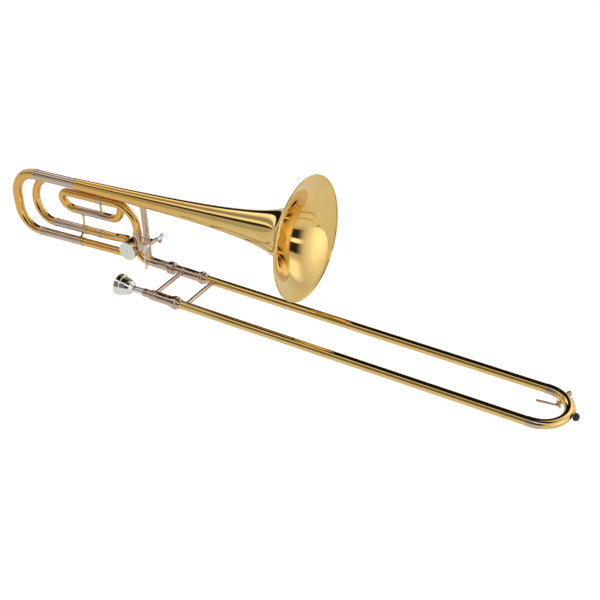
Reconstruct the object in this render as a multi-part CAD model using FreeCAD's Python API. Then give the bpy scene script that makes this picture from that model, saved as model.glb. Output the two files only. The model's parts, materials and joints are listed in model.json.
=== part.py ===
import FreeCAD, Part
import math
import os

# Tenor trombone with an F attachment, in millimetres.
# Frame: the origin is the middle of the inner slide's hand brace. +X runs along the
# hand slide towards its bow, +Y towards the bell side and +Z up towards the bell.
# Names ending in _X, _Y and _Z are positions in that frame. The bell section has a
# frame of its own: s along the bell's axis (0 at the rim, negative behind it), y
# sideways from the bell's plane, and v across the axis, upwards.

# ---- driving dimensions: hand slide ----
HALF_GAP = 46.2          # half the distance between the two slide tubes
BORE_R = 6.95            # inside radius of the inner slide tubes
INNER_R = 7.2            # outside radius of the inner slide tubes
STOCKING_R = 7.34        # outside radius of the stockings at their ends
OUTER_BORE_R = 7.4       # inside radius of the outer slide tubes
OUTER_R = 7.7            # outside radius of the outer slide tubes
INNER_END_X = 684.0
STOCKING_LENGTH = 110.0
OUTER_START_X = 12.0
FERRULE_X = 693.0        # where the bow ferrules start
FERRULE_R = 8.25
BOW_CENTRE_X = 696.6     # centre of the slide bow's half circle
BOW_R = 7.9
FERRULE_ARC_DEG = 22.0   # how far the ferrules follow the bow
BUMPER_R = 6.6

# ---- inner slide fittings ----
BARREL_X = (-2.0, 41.0)
BARREL_R = 9.1
BARREL_BORE_R = 8.3
BARREL_BACK = 5.0        # thickness of the barrel's closed back end
RECEIVER_X = (-19.4, -2.0)
RECEIVER_R = 7.7
SHANK_CLEARANCE = 0.03
BRACE_R = 4.0
OUTER_BRACE_X = 67.6
LOCK_RING_X = (39.2, 52.4)
LOCK_COLLAR_X = 44.2     # where the lock ring steps up from its collar to its grip
LOCK_COLLAR_R = 10.2
LOCK_RING_R = 12.0
RING_CLEARANCE = 0.05
LOCK_TURN_DEG = 30.0
NIB_X = 46.6
NIB_R = 1.0

# ---- water key, placed by angle around the slide bow ----
KEY_DEG = 58.0
KEY_PIVOT_DEG = 51.0
KEY_AXIS_DEG = 54.0
KEY_PIVOT_RADIUS = 36.8
KEY_Z = -11.4
KEY_PIN_R = 0.9
NIPPLE_END = HALF_GAP + 11.2

# ---- joint between the slide and the bell section ----
TENON_X = (-36.5, -22.8)
TENON_R = (7.60, 8.10)
COLLAR_R = 8.6
NUT_X = (-30.2, -18.2)
NUT_R = 11.8
SOCKET_X = (-78.9, -24.0)
ELBOW_END_X = -77.0      # where the elbow ends inside the gooseneck
SOCKET_R = 8.75
SOCKET_FLANGE_R = 9.6

# ---- mouthpiece ----
MOUTHPIECE_RIM_X = -76.4
MOUTHPIECE_RIM_R = 19.6
CUP_R = 12.8
CUP_DEPTH = 24.0
SHANK_END_X = -4.0
SHANK_R = (6.02, 6.42)   # at its end and at the receiver's mouth

# ---- bell section ----
RIM_X = 257.7
AXIS_Z = 144.3
TILT_DEG = 3.04          # angle between the bell's axis and the slide
RIM_R = 107.3
FLARE_SHIFT = 19.0       # these two set the flare: r = RIM_R ((shift - s) / shift) ^ -power
FLARE_POWER = 0.7
BELL_WALL = 0.55
BELL_SEAM_S = -170.0
BELL_TAIL_S = -490.4
BEAD_R = 1.55
TUBE_WALL = 0.45
LEG_GAP = 122.9          # distance between the main tuning slide's legs
UPPER_LEG_S = (-591.2, -490.4)
UPPER_LEG_R = 10.65
LOWER_LEG_S = (-599.6, -494.2)
LOWER_LEG_R = 8.7
MAIN_BOW_CORNERS = (55.0, 46.0)
MAIN_BOW_TIP_S = -647.2
MAIN_BOW_R = (10.1, 7.9)
SLIDE_FIT = 0.05         # radial clearance of the tuning slides' legs
INNER_LEG_LENGTH = 92.0

# ---- rotary valve ----
VALVE_S = -373.1
VALVE_V = -104.3
CASING_R = 17.2
CASING_BORE_R = 15.0
ROTOR_R = 14.95
CASING_Y = (29.5, 58.0)
CAP_Y = (25.0, 31.0)
CAP_R = 17.9
BACK_PLATE_Y = (58.0, 61.5)
PASSAGE_R = 5.5
SPINDLE_R = 3.0
PORT_R = 7.55
MAIN_PORT_R = 7.7
STOP_PIN_RADIUS = 6.1    # linkage pin's distance from the rotor's axis
STOP_WING_LENGTH = 13.0
STOP_ARM_Y = (64.2, 68.0)
STOP_REST_DEG = 135.0    # the linkage pin's angle at rest, from +X towards +Z
STOP_WING_WIDTH = 3.2
BUMPER_POST_R = 2.2

# ---- F attachment tubing, as (y, v) places in the bell section's frame ----
F_R = 7.55
F_OUTER_LEG_R = 8.35
F_TALL_S = -360.5
F_BEND_R = 42.0
F_TOP_V = -21.8
F_LOOP_YV = (12.6, -63.0)
F_UPPER_YV = (21.0, -12.6)
F_RETURN_YV = (10.5, -101.4)
F_LEFT_BEND_S = -514.5
F_LOOP_LEG_S = (-507.8, -427.2)
F_RIGHT_TIP_S = -406.8
F_RIGHT_CORNER = 20.0
F_LEG_S = (-568.8, -490.0)
F_BOW_S = -569.8
F_BOW_R = 7.25

# ---- trigger ----
SHAFT_X = -65.7
SHAFT_Z = 42.1
SHAFT_Y = (26.4, 79.0)
SHAFT_R = 2.3
LINK_ARM_LENGTH = 14.0
LINK_ARM_DEG = -18.0     # the arm's lean towards the valve at rest
LINK_Y = 74.5

TILT = math.radians(TILT_DEG)
X_AXIS = FreeCAD.Vector(1, 0, 0)
Y_AXIS = FreeCAD.Vector(0, 1, 0)
Z_AXIS = FreeCAD.Vector(0, 0, 1)
BELL_AXIS = FreeCAD.Vector(math.cos(TILT), 0, math.sin(TILT))
BELL_UP = FreeCAD.Vector(-math.sin(TILT), 0, math.cos(TILT))


def vec(x, y, z):
    return FreeCAD.Vector(x, y, z)


def bell_point(s, y, v):
    """A point given in the bell section's frame."""
    return vec(RIM_X, HALF_GAP + y, AXIS_Z) + BELL_AXIS * s + BELL_UP * v


VALVE = bell_point(VALVE_S, 0, VALVE_V)


def save(shape, node):
    shape.exportStep("parts/" + node + ".step")


def fuse(shapes):
    """All shapes as one solid."""
    whole = shapes[0]
    if len(shapes) > 1:
        whole = whole.fuse(shapes[1:])
    return whole.removeSplitter()


def group(shapes):
    """Separate solids in one node."""
    solids = []
    for shape in shapes:
        solids.extend(shape.Solids)
    return Part.makeCompound(solids)


def rod(start, end, radius):
    """A round rod between two points."""
    along = end - start
    return Part.makeCylinder(radius, along.Length, start, along)


def sleeve(start, end, radius, bore):
    return rod(start, end, radius).cut(rod(start, end, bore))


def cone(start, end, start_radius, end_radius):
    along = end - start
    return Part.makeCone(start_radius, end_radius, along.Length, start, along)


def turned(profile, origin, axis, across):
    """A solid of revolution. profile holds (along, radius) pairs and is closed."""
    points = [origin + axis * along + across * radius for along, radius in profile]
    points.append(points[0])
    face = Part.Face(Part.makePolygon(points))
    return face.revolve(origin, axis, 360)


def turned_x(profile, y):
    """A solid of revolution about a line along X at the height of the slide."""
    return turned(profile, vec(0, y, 0), X_AXIS, Z_AXIS)


def rounded_path(points, radii):
    """A wire of straight runs joined by tangent arcs; radii has one entry per corner."""
    edges = []
    at = points[0]
    for corner, following, radius in zip(points[1:-1], points[2:], radii):
        before = (corner - at).normalize()
        after = (following - corner).normalize()
        turn = before.getAngle(after)
        reach = radius * math.tan(turn / 2)
        start = corner - before * reach
        end = corner + after * reach
        inward = (after - before).normalize()
        middle = corner + inward * (radius / math.cos(turn / 2) - radius)
        if (start - at).Length > 0.01:
            edges.append(Part.LineSegment(at, start).toShape())
        edges.append(Part.Arc(start, middle, end).toShape())
        at = end
    if (points[-1] - at).Length > 0.01:
        edges.append(Part.LineSegment(at, points[-1]).toShape())
    return Part.Wire(edges)


def swept(wire, radius):
    """A round bar along a wire."""
    start = wire.Edges[0].firstVertex(True).Point
    direction = wire.Edges[0].tangentAt(wire.Edges[0].FirstParameter)
    circle = Part.Wire(Part.makeCircle(radius, start, direction))
    return wire.makePipeShell([circle], True, False)


def tube(points, radii, radius, wall=TUBE_WALL):
    """A bent tube along rounded_path."""
    wire = rounded_path(points, radii)
    return swept(wire, radius).cut(swept(wire, radius - wall))


def slide_line(side):
    """Y of a slide tube: side is -1 for the mouthpiece side and 1 for the bell side."""
    return side * HALF_GAP


# ---- hand slide ----

def inner_tube(side):
    y = slide_line(side)
    return sleeve(vec(BARREL_X[0], y, 0), vec(INNER_END_X, y, 0), INNER_R, BORE_R)


def stocking(side):
    y = slide_line(side)
    start = vec(INNER_END_X - STOCKING_LENGTH, y, 0)
    return sleeve(start, vec(INNER_END_X, y, 0), STOCKING_R, INNER_R)


def cork_barrel(side):
    back = BARREL_X[0] + BARREL_BACK
    profile = [
        (BARREL_X[0], INNER_R),
        (BARREL_X[0], BARREL_R - 0.5),
        (BARREL_X[0] + 0.5, BARREL_R),
        (BARREL_X[1], BARREL_R),
        (BARREL_X[1], BARREL_BORE_R),
        (back, BARREL_BORE_R),
        (back, INNER_R),
    ]
    return turned_x(profile, slide_line(side))


def slide_cork(side):
    """The cork ring that the outer slide stops against, deep in the barrel."""
    y = slide_line(side)
    start = vec(BARREL_X[0] + BARREL_BACK, y, 0)
    return sleeve(start, start + X_AXIS * 7.0, BARREL_BORE_R, INNER_R)


def bell_side_barrel_ring():
    step = BARREL_X[1] - 0.8
    end = BARREL_X[1] + 5.4
    profile = [
        (BARREL_X[1] - 4.4, BARREL_R),
        (BARREL_X[1] - 4.4, LOCK_COLLAR_R),
        (step, LOCK_COLLAR_R),
        (step + 0.9, LOCK_RING_R),
        (end - 1.2, LOCK_RING_R),
        (end, LOCK_RING_R - 1.4),
        (end, BARREL_BORE_R),
        (BARREL_X[1], BARREL_BORE_R),
        (BARREL_X[1], BARREL_R),
    ]
    return turned_x(profile, HALF_GAP)


def brace_between(x, reach, radius):
    """A plain hand brace, flared at each end, between round parts of radius reach."""
    start = vec(x, -HALF_GAP, 0)
    end = vec(x, HALF_GAP, 0)
    collar = 2.4
    foot_r = radius + 1.6
    shapes = [rod(start, end, radius)]
    for side in (-1, 1):
        root = vec(x, slide_line(side), 0)
        inward = Y_AXIS * -side
        foot = root + inward * reach * 0.7
        shapes.append(cone(foot, root + inward * (reach + collar), foot_r, radius))
    whole = fuse(shapes)
    for side in (-1, 1):
        y = slide_line(side)
        whole = whole.cut(rod(vec(x - 20, y, 0), vec(x + 20, y, 0), reach))
    return whole


def hand_brace():
    """The left hand's brace. It stands on the barrels' back ends."""
    return brace_between(0, BARREL_R, BRACE_R)


def outer_brace():
    return brace_between(OUTER_BRACE_X, OUTER_R, BRACE_R)


def mouthpiece_receiver():
    flange = 3.0
    profile = [
        (RECEIVER_X[0], SHANK_R[1] + SHANK_CLEARANCE),
        (RECEIVER_X[0], RECEIVER_R - 0.3),
        (RECEIVER_X[0] + 0.3, RECEIVER_R),
        (RECEIVER_X[1] - flange, RECEIVER_R),
        (RECEIVER_X[1] - flange, RECEIVER_R + 0.8),
        (RECEIVER_X[1], RECEIVER_R + 0.8),
        (RECEIVER_X[1], SHANK_R[0] + SHANK_CLEARANCE),
    ]
    return turned_x(profile, -HALF_GAP)


def leadpipe():
    """The tapered pipe inside the mouthpiece-side inner tube."""
    outside = BORE_R - 0.02
    profile = [
        (RECEIVER_X[1], 6.1),
        (RECEIVER_X[1], outside),
        (210.0, outside),
        (210.0, 6.75),
        (60.0, 5.9),
    ]
    return turned_x(profile, -HALF_GAP)


def bell_tenon():
    """The coned tenon and threaded collar that carry the bell section."""
    thread = []
    at = TENON_X[1] + 0.6
    pitch = 1.5
    for _turn in range(6):
        thread.append((at, COLLAR_R))
        thread.append((at + pitch / 2, COLLAR_R - 0.45))
        at += pitch
    profile = [(TENON_X[0], BORE_R), (TENON_X[0], TENON_R[0]), (TENON_X[1], TENON_R[1])]
    profile += [(TENON_X[1], COLLAR_R - 0.45)]
    profile += thread
    profile += [(at, COLLAR_R), (BARREL_X[0], COLLAR_R), (BARREL_X[0], BORE_R)]
    return turned_x(profile, HALF_GAP)


def lock_ring():
    """The slide lock: a ring with an L-shaped slot that traps the end ring's nib."""
    y = -HALF_GAP
    bore = BARREL_R + RING_CLEARANCE
    start, end = LOCK_RING_X
    profile = [
        (start, bore),
        (start, LOCK_COLLAR_R),
        (LOCK_COLLAR_X, LOCK_COLLAR_R),
        (LOCK_COLLAR_X + 0.9, LOCK_RING_R),
        (end - 1.2, LOCK_RING_R),
        (end, LOCK_RING_R - 1.4),
        (end, bore),
    ]
    ring = turned_x(profile, y)
    lug = Part.makeBox(5.6, 3.2, 2.2, vec(LOCK_COLLAR_X + 1.2, y - 1.6, LOCK_RING_R - 0.4))
    lug.rotate(vec(0, y, 0), X_AXIS, 20)
    ring = ring.fuse(lug)
    width = NIB_R + 0.35
    mouth = Part.makeBox(20, 2 * width, 20, vec(NIB_X - width, y - width, 0))
    trap_face = Part.Face(
        Part.makePolygon(
            [
                vec(NIB_X - width, y, 0),
                vec(NIB_X - width, y, 20),
                vec(NIB_X + width, y, 20),
                vec(NIB_X + width, y, 0),
                vec(NIB_X - width, y, 0),
            ]
        )
    )
    nib_angle = math.degrees(width / bore)
    trap = trap_face.revolve(vec(0, y, 0), X_AXIS, -(LOCK_TURN_DEG + nib_angle))
    slots = mouth.fuse(trap)
    # the slot lies on the underside, where the nib is
    slots.rotate(vec(0, y, 0), X_AXIS, 180)
    ring = ring.cut(slots)
    ring = ring.cut(rod(vec(start - 1, y, 0), vec(end + 1, y, 0), bore))
    return ring.removeSplitter()


def outer_tube(side):
    y = slide_line(side)
    start = vec(OUTER_START_X, y, 0)
    return sleeve(start, vec(BOW_CENTRE_X, y, 0), OUTER_R, OUTER_BORE_R)


def end_ring(side):
    """The thick ring near each outer tube's open end. The near one carries the nib."""
    start = 42.2 if side < 0 else 46.9
    step = LOCK_RING_X[1] + 0.4 if side < 0 else 46.9
    hidden = 8.75
    radius = 9.9
    profile = [(start, OUTER_R)]
    if side < 0:
        profile += [(start, hidden), (step, hidden)]
    profile += [
        (step, radius),
        (step + 3.4, radius),
        (step + 6.6, OUTER_R + 0.3),
        (step + 6.6, OUTER_R),
    ]
    ring = turned_x(profile, slide_line(side))
    if side < 0:
        foot = vec(NIB_X, -HALF_GAP, -OUTER_R - 0.3)
        ring = ring.fuse(rod(foot, foot - Z_AXIS * 2.2, NIB_R))
    return ring


def slide_bow_wire(start_deg, end_deg):
    """Part of the slide bow's half circle; 0 degrees is its tip, 90 the bell side."""
    radius = HALF_GAP
    points = []
    for degrees in (start_deg, (start_deg + end_deg) / 2, end_deg):
        angle = math.radians(degrees)
        points.append(vec(BOW_CENTRE_X + radius * math.cos(angle), radius * math.sin(angle), 0))
    return Part.Wire(Part.Arc(*points).toShape())


def bow_point(degrees, radius, z):
    angle = math.radians(degrees)
    return vec(BOW_CENTRE_X + radius * math.cos(angle), radius * math.sin(angle), z)


def slide_bow():
    wire = slide_bow_wire(-90, 90)
    bow = swept(wire, BOW_R).cut(swept(wire, OUTER_BORE_R - 0.3))
    drain = rod(bow_point(KEY_DEG, HALF_GAP, 0), bow_point(KEY_DEG, HALF_GAP + 20, 0), 1.6)
    return bow.cut(drain)


def bow_ferrule(side):
    """The nickel sleeve over the seam of a slide tube and the bow."""
    y = slide_line(side)
    straight = sleeve(vec(FERRULE_X, y, 0), vec(BOW_CENTRE_X, y, 0), FERRULE_R, OUTER_R)
    wire = slide_bow_wire(side * 90, side * (90 - FERRULE_ARC_DEG))
    curved = swept(wire, FERRULE_R).cut(swept(wire, BOW_R))
    return fuse([straight, curved])


def bow_guard():
    """The brass strip that protects the outside of the bow beside the water key."""
    points = [bow_point(degrees, HALF_GAP + 5.9, 0) for degrees in (12.0, 28.0, 44.0)]
    wire = Part.Wire(Part.Arc(*points).toShape())
    strip = swept(wire, 4.6)
    for end in (points[0], points[2]):
        strip = strip.fuse(Part.makeSphere(4.6, end))
    return strip.cut(swept(slide_bow_wire(-5, 62), BOW_R)).removeSplitter()


def bumper_socket():
    """The small brass seat on the bow's tip that holds the rubber bumper."""
    start = vec(BOW_CENTRE_X + HALF_GAP + BOW_R - 1.6, 0, 0)
    socket = rod(start, start + X_AXIS * 2.4, 3.0)
    return socket.cut(swept(slide_bow_wire(-30, 30), BOW_R))


def rubber_bumper():
    base_x = BOW_CENTRE_X + HALF_GAP + BOW_R + 0.8
    profile = [
        (base_x, 0.0),
        (base_x, BUMPER_R - 2.0),
        (base_x + 1.4, BUMPER_R),
        (base_x + 5.2, BUMPER_R),
        (base_x + 8.2, BUMPER_R - 1.8),
        (base_x + 9.4, BUMPER_R - 4.2),
        (base_x + 9.4, 0.0),
    ]
    return turned_x(profile, 0)


def key_axis():
    angle = math.radians(KEY_AXIS_DEG)
    return vec(-math.sin(angle), math.cos(angle), 0)


def key_pivot():
    return bow_point(KEY_PIVOT_DEG, KEY_PIVOT_RADIUS, KEY_Z)


def water_nipple():
    start = bow_point(KEY_DEG, HALF_GAP + 6.0, 0)
    end = bow_point(KEY_DEG, NIPPLE_END, 0)
    nipple = rod(start, end, 3.0).cut(swept(slide_bow_wire(30, 85), BOW_R))
    return nipple.cut(rod(start, end, 1.6))


def water_key_saddle():
    """Two ears under the bow that hold the water key's pin."""
    pivot = key_pivot()
    axis = key_axis()
    ears = []
    for sign in (-1, 1):
        middle = pivot + axis * (sign * 4.3)
        ear = rod(middle - axis * 0.7, middle + axis * 0.7, 2.3)
        top = middle + Z_AXIS * (-KEY_Z - 3.0)
        ears.append(ear)
        post = rod(middle, top, 0.69)
        ears.append(post)
    angle = math.radians(KEY_AXIS_DEG)
    outward = vec(math.cos(angle), math.sin(angle), 0)
    plate = rod(pivot - axis * 5.0 + Z_AXIS * 5.2, pivot + axis * 5.0 + Z_AXIS * 5.2, 1.6)
    ears.append(plate)
    foot = pivot + Z_AXIS * 5.2
    ears.append(rod(foot, foot + outward * 4.0 + Z_AXIS * 1.0, 2.6))
    whole = fuse(ears)
    whole = whole.cut(swept(slide_bow_wire(20, 85), BOW_R))
    return whole.cut(rod(pivot - axis * 9, pivot + axis * 9, KEY_PIN_R))


def water_key_pin():
    pivot = key_pivot()
    axis = key_axis()
    return rod(pivot - axis * 5.4, pivot + axis * 5.4, KEY_PIN_R)


def water_key_lever():
    """Touch rod, hub, arm under the tube and cork cup, in one brazed piece."""
    pivot = key_pivot()
    axis = key_axis()
    hub = rod(pivot - axis * 3.2, pivot + axis * 3.2, 2.1)
    tip = vec(688.2, 17.9, -6.6)
    elbow = vec(706.0, 23.4, -9.0)
    touch = fuse([rod(tip, elbow, 2.1), Part.makeSphere(2.1, elbow), rod(elbow, pivot, 1.8)])
    touch = fuse([touch, Part.makeSphere(2.1, tip)])
    under = bow_point(KEY_DEG, HALF_GAP + 13.0, KEY_Z)
    top = bow_point(KEY_DEG, HALF_GAP + 15.0, 0)
    arm = fuse([rod(pivot, under, 1.4), Part.makeSphere(1.4, under), rod(under, top, 1.4)])
    cup_start = bow_point(KEY_DEG, NIPPLE_END + 0.6, 0)
    cup_end = bow_point(KEY_DEG, HALF_GAP + 16.4, 0)
    cup = rod(cup_start, cup_end, 4.4)
    pocket = rod(cup_start, cup_start + (cup_end - cup_start) * 0.5, 3.6)
    whole = fuse([hub, touch, arm, cup]).cut(pocket)
    return whole.cut(rod(pivot - axis * 9, pivot + axis * 9, KEY_PIN_R + 0.06))


def water_key_cork():
    cup_start = bow_point(KEY_DEG, NIPPLE_END + 0.6, 0)
    cup_end = bow_point(KEY_DEG, HALF_GAP + 16.4, 0)
    face = bow_point(KEY_DEG, NIPPLE_END + 0.02, 0)
    return rod(face, cup_start + (cup_end - cup_start) * 0.5, 3.6)


def hand_slide_parts():
    save(inner_tube(-1), "mouthpiece_side_inner_tube")
    save(inner_tube(1), "bell_side_inner_tube")
    save(group([stocking(-1), stocking(1)]), "inner_slide_stockings")
    save(cork_barrel(-1), "mouthpiece_side_cork_barrel")
    save(cork_barrel(1), "bell_side_cork_barrel")
    save(group([slide_cork(-1), slide_cork(1)]), "slide_corks")
    save(bell_side_barrel_ring(), "bell_side_barrel_ring")
    save(hand_brace(), "hand_brace")
    save(mouthpiece_receiver(), "mouthpiece_receiver")
    save(leadpipe(), "leadpipe")
    save(bell_tenon(), "bell_tenon")
    save(lock_ring(), "slide_lock_ring")
    save(outer_tube(-1), "mouthpiece_side_outer_tube")
    save(outer_tube(1), "bell_side_outer_tube")
    save(group([end_ring(-1), end_ring(1)]), "outer_slide_end_rings")
    save(outer_brace(), "outer_brace")
    save(slide_bow(), "slide_bow")
    save(group([bow_ferrule(-1), bow_ferrule(1)]), "bow_ferrules")
    save(group([bow_guard(), bumper_socket()]), "bow_fittings")
    save(rubber_bumper(), "rubber_bumper")
    save(group([water_nipple(), water_key_saddle()]), "water_key_mounts")
    save(water_key_pin(), "water_key_pin")
    save(water_key_lever(), "water_key_lever")
    save(water_key_cork(), "water_key_cork")


# ---- mouthpiece ----

def mouthpiece():
    """Rim, cup, throat and shank, turned in one piece."""
    y = -HALF_GAP
    origin = vec(MOUTHPIECE_RIM_X, y, 0)
    length = SHANK_END_X - MOUTHPIECE_RIM_X
    at_mouth = RECEIVER_X[0] - MOUTHPIECE_RIM_X

    def point(along, radius):
        return origin + X_AXIS * along + Z_AXIS * radius

    shank_slope = (SHANK_R[1] - SHANK_R[0]) / (SHANK_END_X - RECEIVER_X[0])
    band_end = point(11.4, MOUTHPIECE_RIM_R - 1.0)
    step = point(12.8, 16.9)
    outline = Part.BSplineCurve()
    outline.interpolate(
        [
            step,
            point(17.0, 15.9),
            point(22.0, 14.7),
            point(26.0, 13.3),
            point(29.0, 11.6),
            point(31.6, 9.2),
            point(33.6, 7.0),
            point(36.0, 5.9),
        ]
    )
    rim_top = (MOUTHPIECE_RIM_R + CUP_R) / 2
    rim = Part.Arc(point(3.6, MOUTHPIECE_RIM_R), point(0.0, rim_top), point(3.4, CUP_R)).toShape()
    cup = Part.BSplineCurve()
    cup.interpolate(
        [
            point(3.4, CUP_R),
            point(10.0, 11.9),
            point(17.0, 8.9),
            point(CUP_DEPTH, 4.4),
            point(CUP_DEPTH + 4.0, 3.4),
        ]
    )
    waist = point(36.0, 5.9)
    neck = point(41.0, 5.7)
    shoulder = point(at_mouth - 1.5, SHANK_R[1] + shank_slope * 1.5)
    shank_end = point(length, SHANK_R[0])
    bore_end = point(length, 4.9)
    throat = point(CUP_DEPTH + 4.0, 3.4)
    edges = [
        Part.LineSegment(point(3.6, MOUTHPIECE_RIM_R), band_end).toShape(),
        Part.LineSegment(band_end, step).toShape(),
        outline.toShape(),
        Part.LineSegment(waist, neck).toShape(),
        Part.LineSegment(neck, shoulder).toShape(),
        Part.LineSegment(shoulder, shank_end).toShape(),
        Part.LineSegment(shank_end, bore_end).toShape(),
        Part.LineSegment(bore_end, throat).toShape(),
        cup.toShape(),
        rim,
    ]
    wire = Part.Wire(Part.__sortEdges__(edges))
    return Part.Face(wire).revolve(vec(0, y, 0), X_AXIS, 360)


# ---- bell ----

def flare_radius(s):
    return RIM_R * ((FLARE_SHIFT - s) / FLARE_SHIFT) ** -FLARE_POWER


def bell_shell(first_s, last_s, count):
    """A length of the bell. Stations crowd together towards the rim."""
    stations = []
    low = math.log(FLARE_SHIFT - last_s)
    high = math.log(FLARE_SHIFT - first_s)
    for index in range(count):
        step = index / (count - 1)
        stations.append(FLARE_SHIFT - math.exp(high + (low - high) * step))
    origin = bell_point(0, 0, 0)

    def curve(pairs):
        line = Part.BSplineCurve()
        line.interpolate([origin + BELL_AXIS * s + BELL_UP * r for s, r in pairs])
        return line.toShape()

    outer = []
    inner = []
    for s in stations:
        r = flare_radius(s)
        slope = FLARE_POWER * r / (FLARE_SHIFT - s)
        outer.append((s, r))
        inner.append((s, r - BELL_WALL * math.hypot(1, slope)))
    ends = []
    for pair in (0, -1):
        start = origin + BELL_AXIS * outer[pair][0] + BELL_UP * outer[pair][1]
        end = origin + BELL_AXIS * inner[pair][0] + BELL_UP * inner[pair][1]
        ends.append(Part.LineSegment(start, end).toShape())
    wire = Part.Wire(Part.__sortEdges__([curve(outer), curve(inner)] + ends))
    return Part.Face(wire).revolve(origin, BELL_AXIS, 360)


def bell_bead():
    """The rolled bead around the rim."""
    centre = bell_point(BEAD_R * 0.2, 0, 0)
    bead = Part.makeTorus(RIM_R + 0.2, BEAD_R, centre, BELL_AXIS)
    return bead.cut(bell_shell(BELL_SEAM_S, 0.0, 15))


def outer_leg(s_range, y, v, radius, bore):
    return sleeve(bell_point(s_range[0], y, v), bell_point(s_range[1], y, v), radius, bore)


def upper_outer_leg():
    bore = MAIN_BOW_R[0] - 0.3 + SLIDE_FIT
    return outer_leg(UPPER_LEG_S, 0, 0, UPPER_LEG_R, bore)


def lower_outer_leg():
    bore = MAIN_BOW_R[1] - 0.3 + SLIDE_FIT
    return outer_leg(LOWER_LEG_S, 0, -LEG_GAP, LOWER_LEG_R, bore)


def port_point(direction_deg, distance):
    """A point at a distance from the valve's axis; 0 degrees is forwards along the bell."""
    angle = math.radians(direction_deg)
    along = math.cos(angle) * distance
    up = math.sin(angle) * distance
    return VALVE + BELL_AXIS * along + BELL_UP * up


def into_casing(shape, bore=CASING_R):
    """Trims a tube to the casing's round outside."""
    start = vec(VALVE.x, 20, VALVE.z)
    return shape.cut(rod(start, start + Y_AXIS * 60, bore))


def valve_inlet_tube():
    """Main tubing from the tuning slide's lower leg to the valve's lower left port."""
    reach = LEG_GAP + VALVE_V
    corner = port_point(225, reach * math.sqrt(2))
    points = [bell_point(LOWER_LEG_S[1], 0, -LEG_GAP), corner, port_point(225, 10)]
    return into_casing(tube(points, [22.0], MAIN_PORT_R))


def gooseneck_elbow():
    """Main tubing from the valve's lower right port down to the slide's line."""
    start = port_point(315, 10)
    direction = (port_point(315, 20) - start).normalize()
    corner = start + direction * (start.z / -direction.z)
    points = [start, corner, vec(ELBOW_END_X, HALF_GAP, 0)]
    return into_casing(tube(points, [20.0], MAIN_PORT_R))


def gooseneck():
    """The nickel tube under the bell brace, with the socket for the slide's tenon."""
    clearance = 0.05
    slope = (TENON_R[1] - TENON_R[0]) / (TENON_X[1] - TENON_X[0])
    mouth = TENON_R[0] + slope * (SOCKET_X[1] - TENON_X[0]) + clearance
    profile = [
        (SOCKET_X[0], MAIN_PORT_R),
        (SOCKET_X[0], SOCKET_R),
        (SOCKET_X[1] - 2.6, SOCKET_R),
        (SOCKET_X[1] - 2.6, SOCKET_FLANGE_R),
        (SOCKET_X[1], SOCKET_FLANGE_R),
        (SOCKET_X[1], mouth),
        (TENON_X[0] - 0.6, TENON_R[0] + clearance),
        (TENON_X[0] - 0.6, BORE_R),
        (ELBOW_END_X, BORE_R),
        (ELBOW_END_X, MAIN_PORT_R),
    ]
    return turned_x(profile, HALF_GAP)


def bell_lock_nut():
    """The knurled nut that draws the bell section onto the slide."""
    clearance = 0.05
    pocket_end = SOCKET_X[1] + 0.3
    profile = [
        (NUT_X[0], SOCKET_R + clearance),
        (NUT_X[0], NUT_R - 0.8),
        (NUT_X[0] + 0.8, NUT_R),
        (NUT_X[1] - 0.8, NUT_R),
        (NUT_X[1], NUT_R - 0.8),
        (NUT_X[1], COLLAR_R + clearance),
        (pocket_end, COLLAR_R + clearance),
        (pocket_end, SOCKET_FLANGE_R + clearance),
        (SOCKET_X[1] - 2.8, SOCKET_FLANGE_R + clearance),
        (SOCKET_X[1] - 2.8, SOCKET_R + clearance),
    ]
    nut = turned_x(profile, HALF_GAP)
    flutes = []
    count = 12
    for index in range(count):
        angle = 2 * math.pi * index / count
        offset = NUT_R + 0.7
        y = HALF_GAP + offset * math.cos(angle)
        z = offset * math.sin(angle)
        flutes.append(rod(vec(NUT_X[0] + 4, y, z), vec(NUT_X[1] - 4, y, z), 1.5))
    return nut.cut(flutes)


def brace_line():
    foot = vec(-75.2, HALF_GAP, 0)
    return foot, bell_point(-340.0, 0, 0)


def bell_brace():
    """The upright nickel tube between the bell's stem and the gooseneck."""
    foot, head = brace_line()
    post = rod(foot, head, 5.75).cut(rod(foot, head, 5.0))
    post = post.cut(rod(foot - X_AXIS * 30, foot + X_AXIS * 30, SOCKET_R))
    return post.cut(cone(bell_point(-370, 0, 0), bell_point(-310, 0, 0),
                         flare_radius(-370), flare_radius(-310)))


def brace_flanges():
    """Saddle plates that spread the brace's ends on the stem and the gooseneck."""
    foot, head = brace_line()
    up = (head - foot).normalize()
    thickness = 1.1
    lower = rod(foot, head - up * 100, 9.0)
    lower = lower.common(rod(foot - X_AXIS * 8, foot + X_AXIS * 11, SOCKET_R + thickness))
    lower = lower.cut(rod(foot - X_AXIS * 30, foot + X_AXIS * 30, SOCKET_R))
    upper = rod(head - up * 30, head, 9.0)
    skin = cone(bell_point(-370, 0, 0), bell_point(-310, 0, 0),
                flare_radius(-370) + thickness, flare_radius(-310) + thickness)
    stem_solid = cone(bell_point(-370, 0, 0), bell_point(-310, 0, 0),
                      flare_radius(-370), flare_radius(-310))
    upper = upper.common(skin).cut(stem_solid)
    hole = rod(foot, head, 5.75)
    return group([lower.cut(hole), upper.cut(hole)])


# ---- rotary valve ----

def valve_rod(y_range, radius):
    return rod(vec(VALVE.x, y_range[0], VALVE.z), vec(VALVE.x, y_range[1], VALVE.z), radius)


def port_hole(direction_deg, radius):
    start = port_point(direction_deg, 8)
    return rod(start, port_point(direction_deg, 30), radius)


def valve_casing():
    casing = valve_rod(CASING_Y, CASING_R).cut(valve_rod(CASING_Y, CASING_BORE_R))
    for direction in (45, 135, 225, 315):
        casing = casing.cut(port_hole(direction, PORT_R - TUBE_WALL))
    return casing


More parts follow.
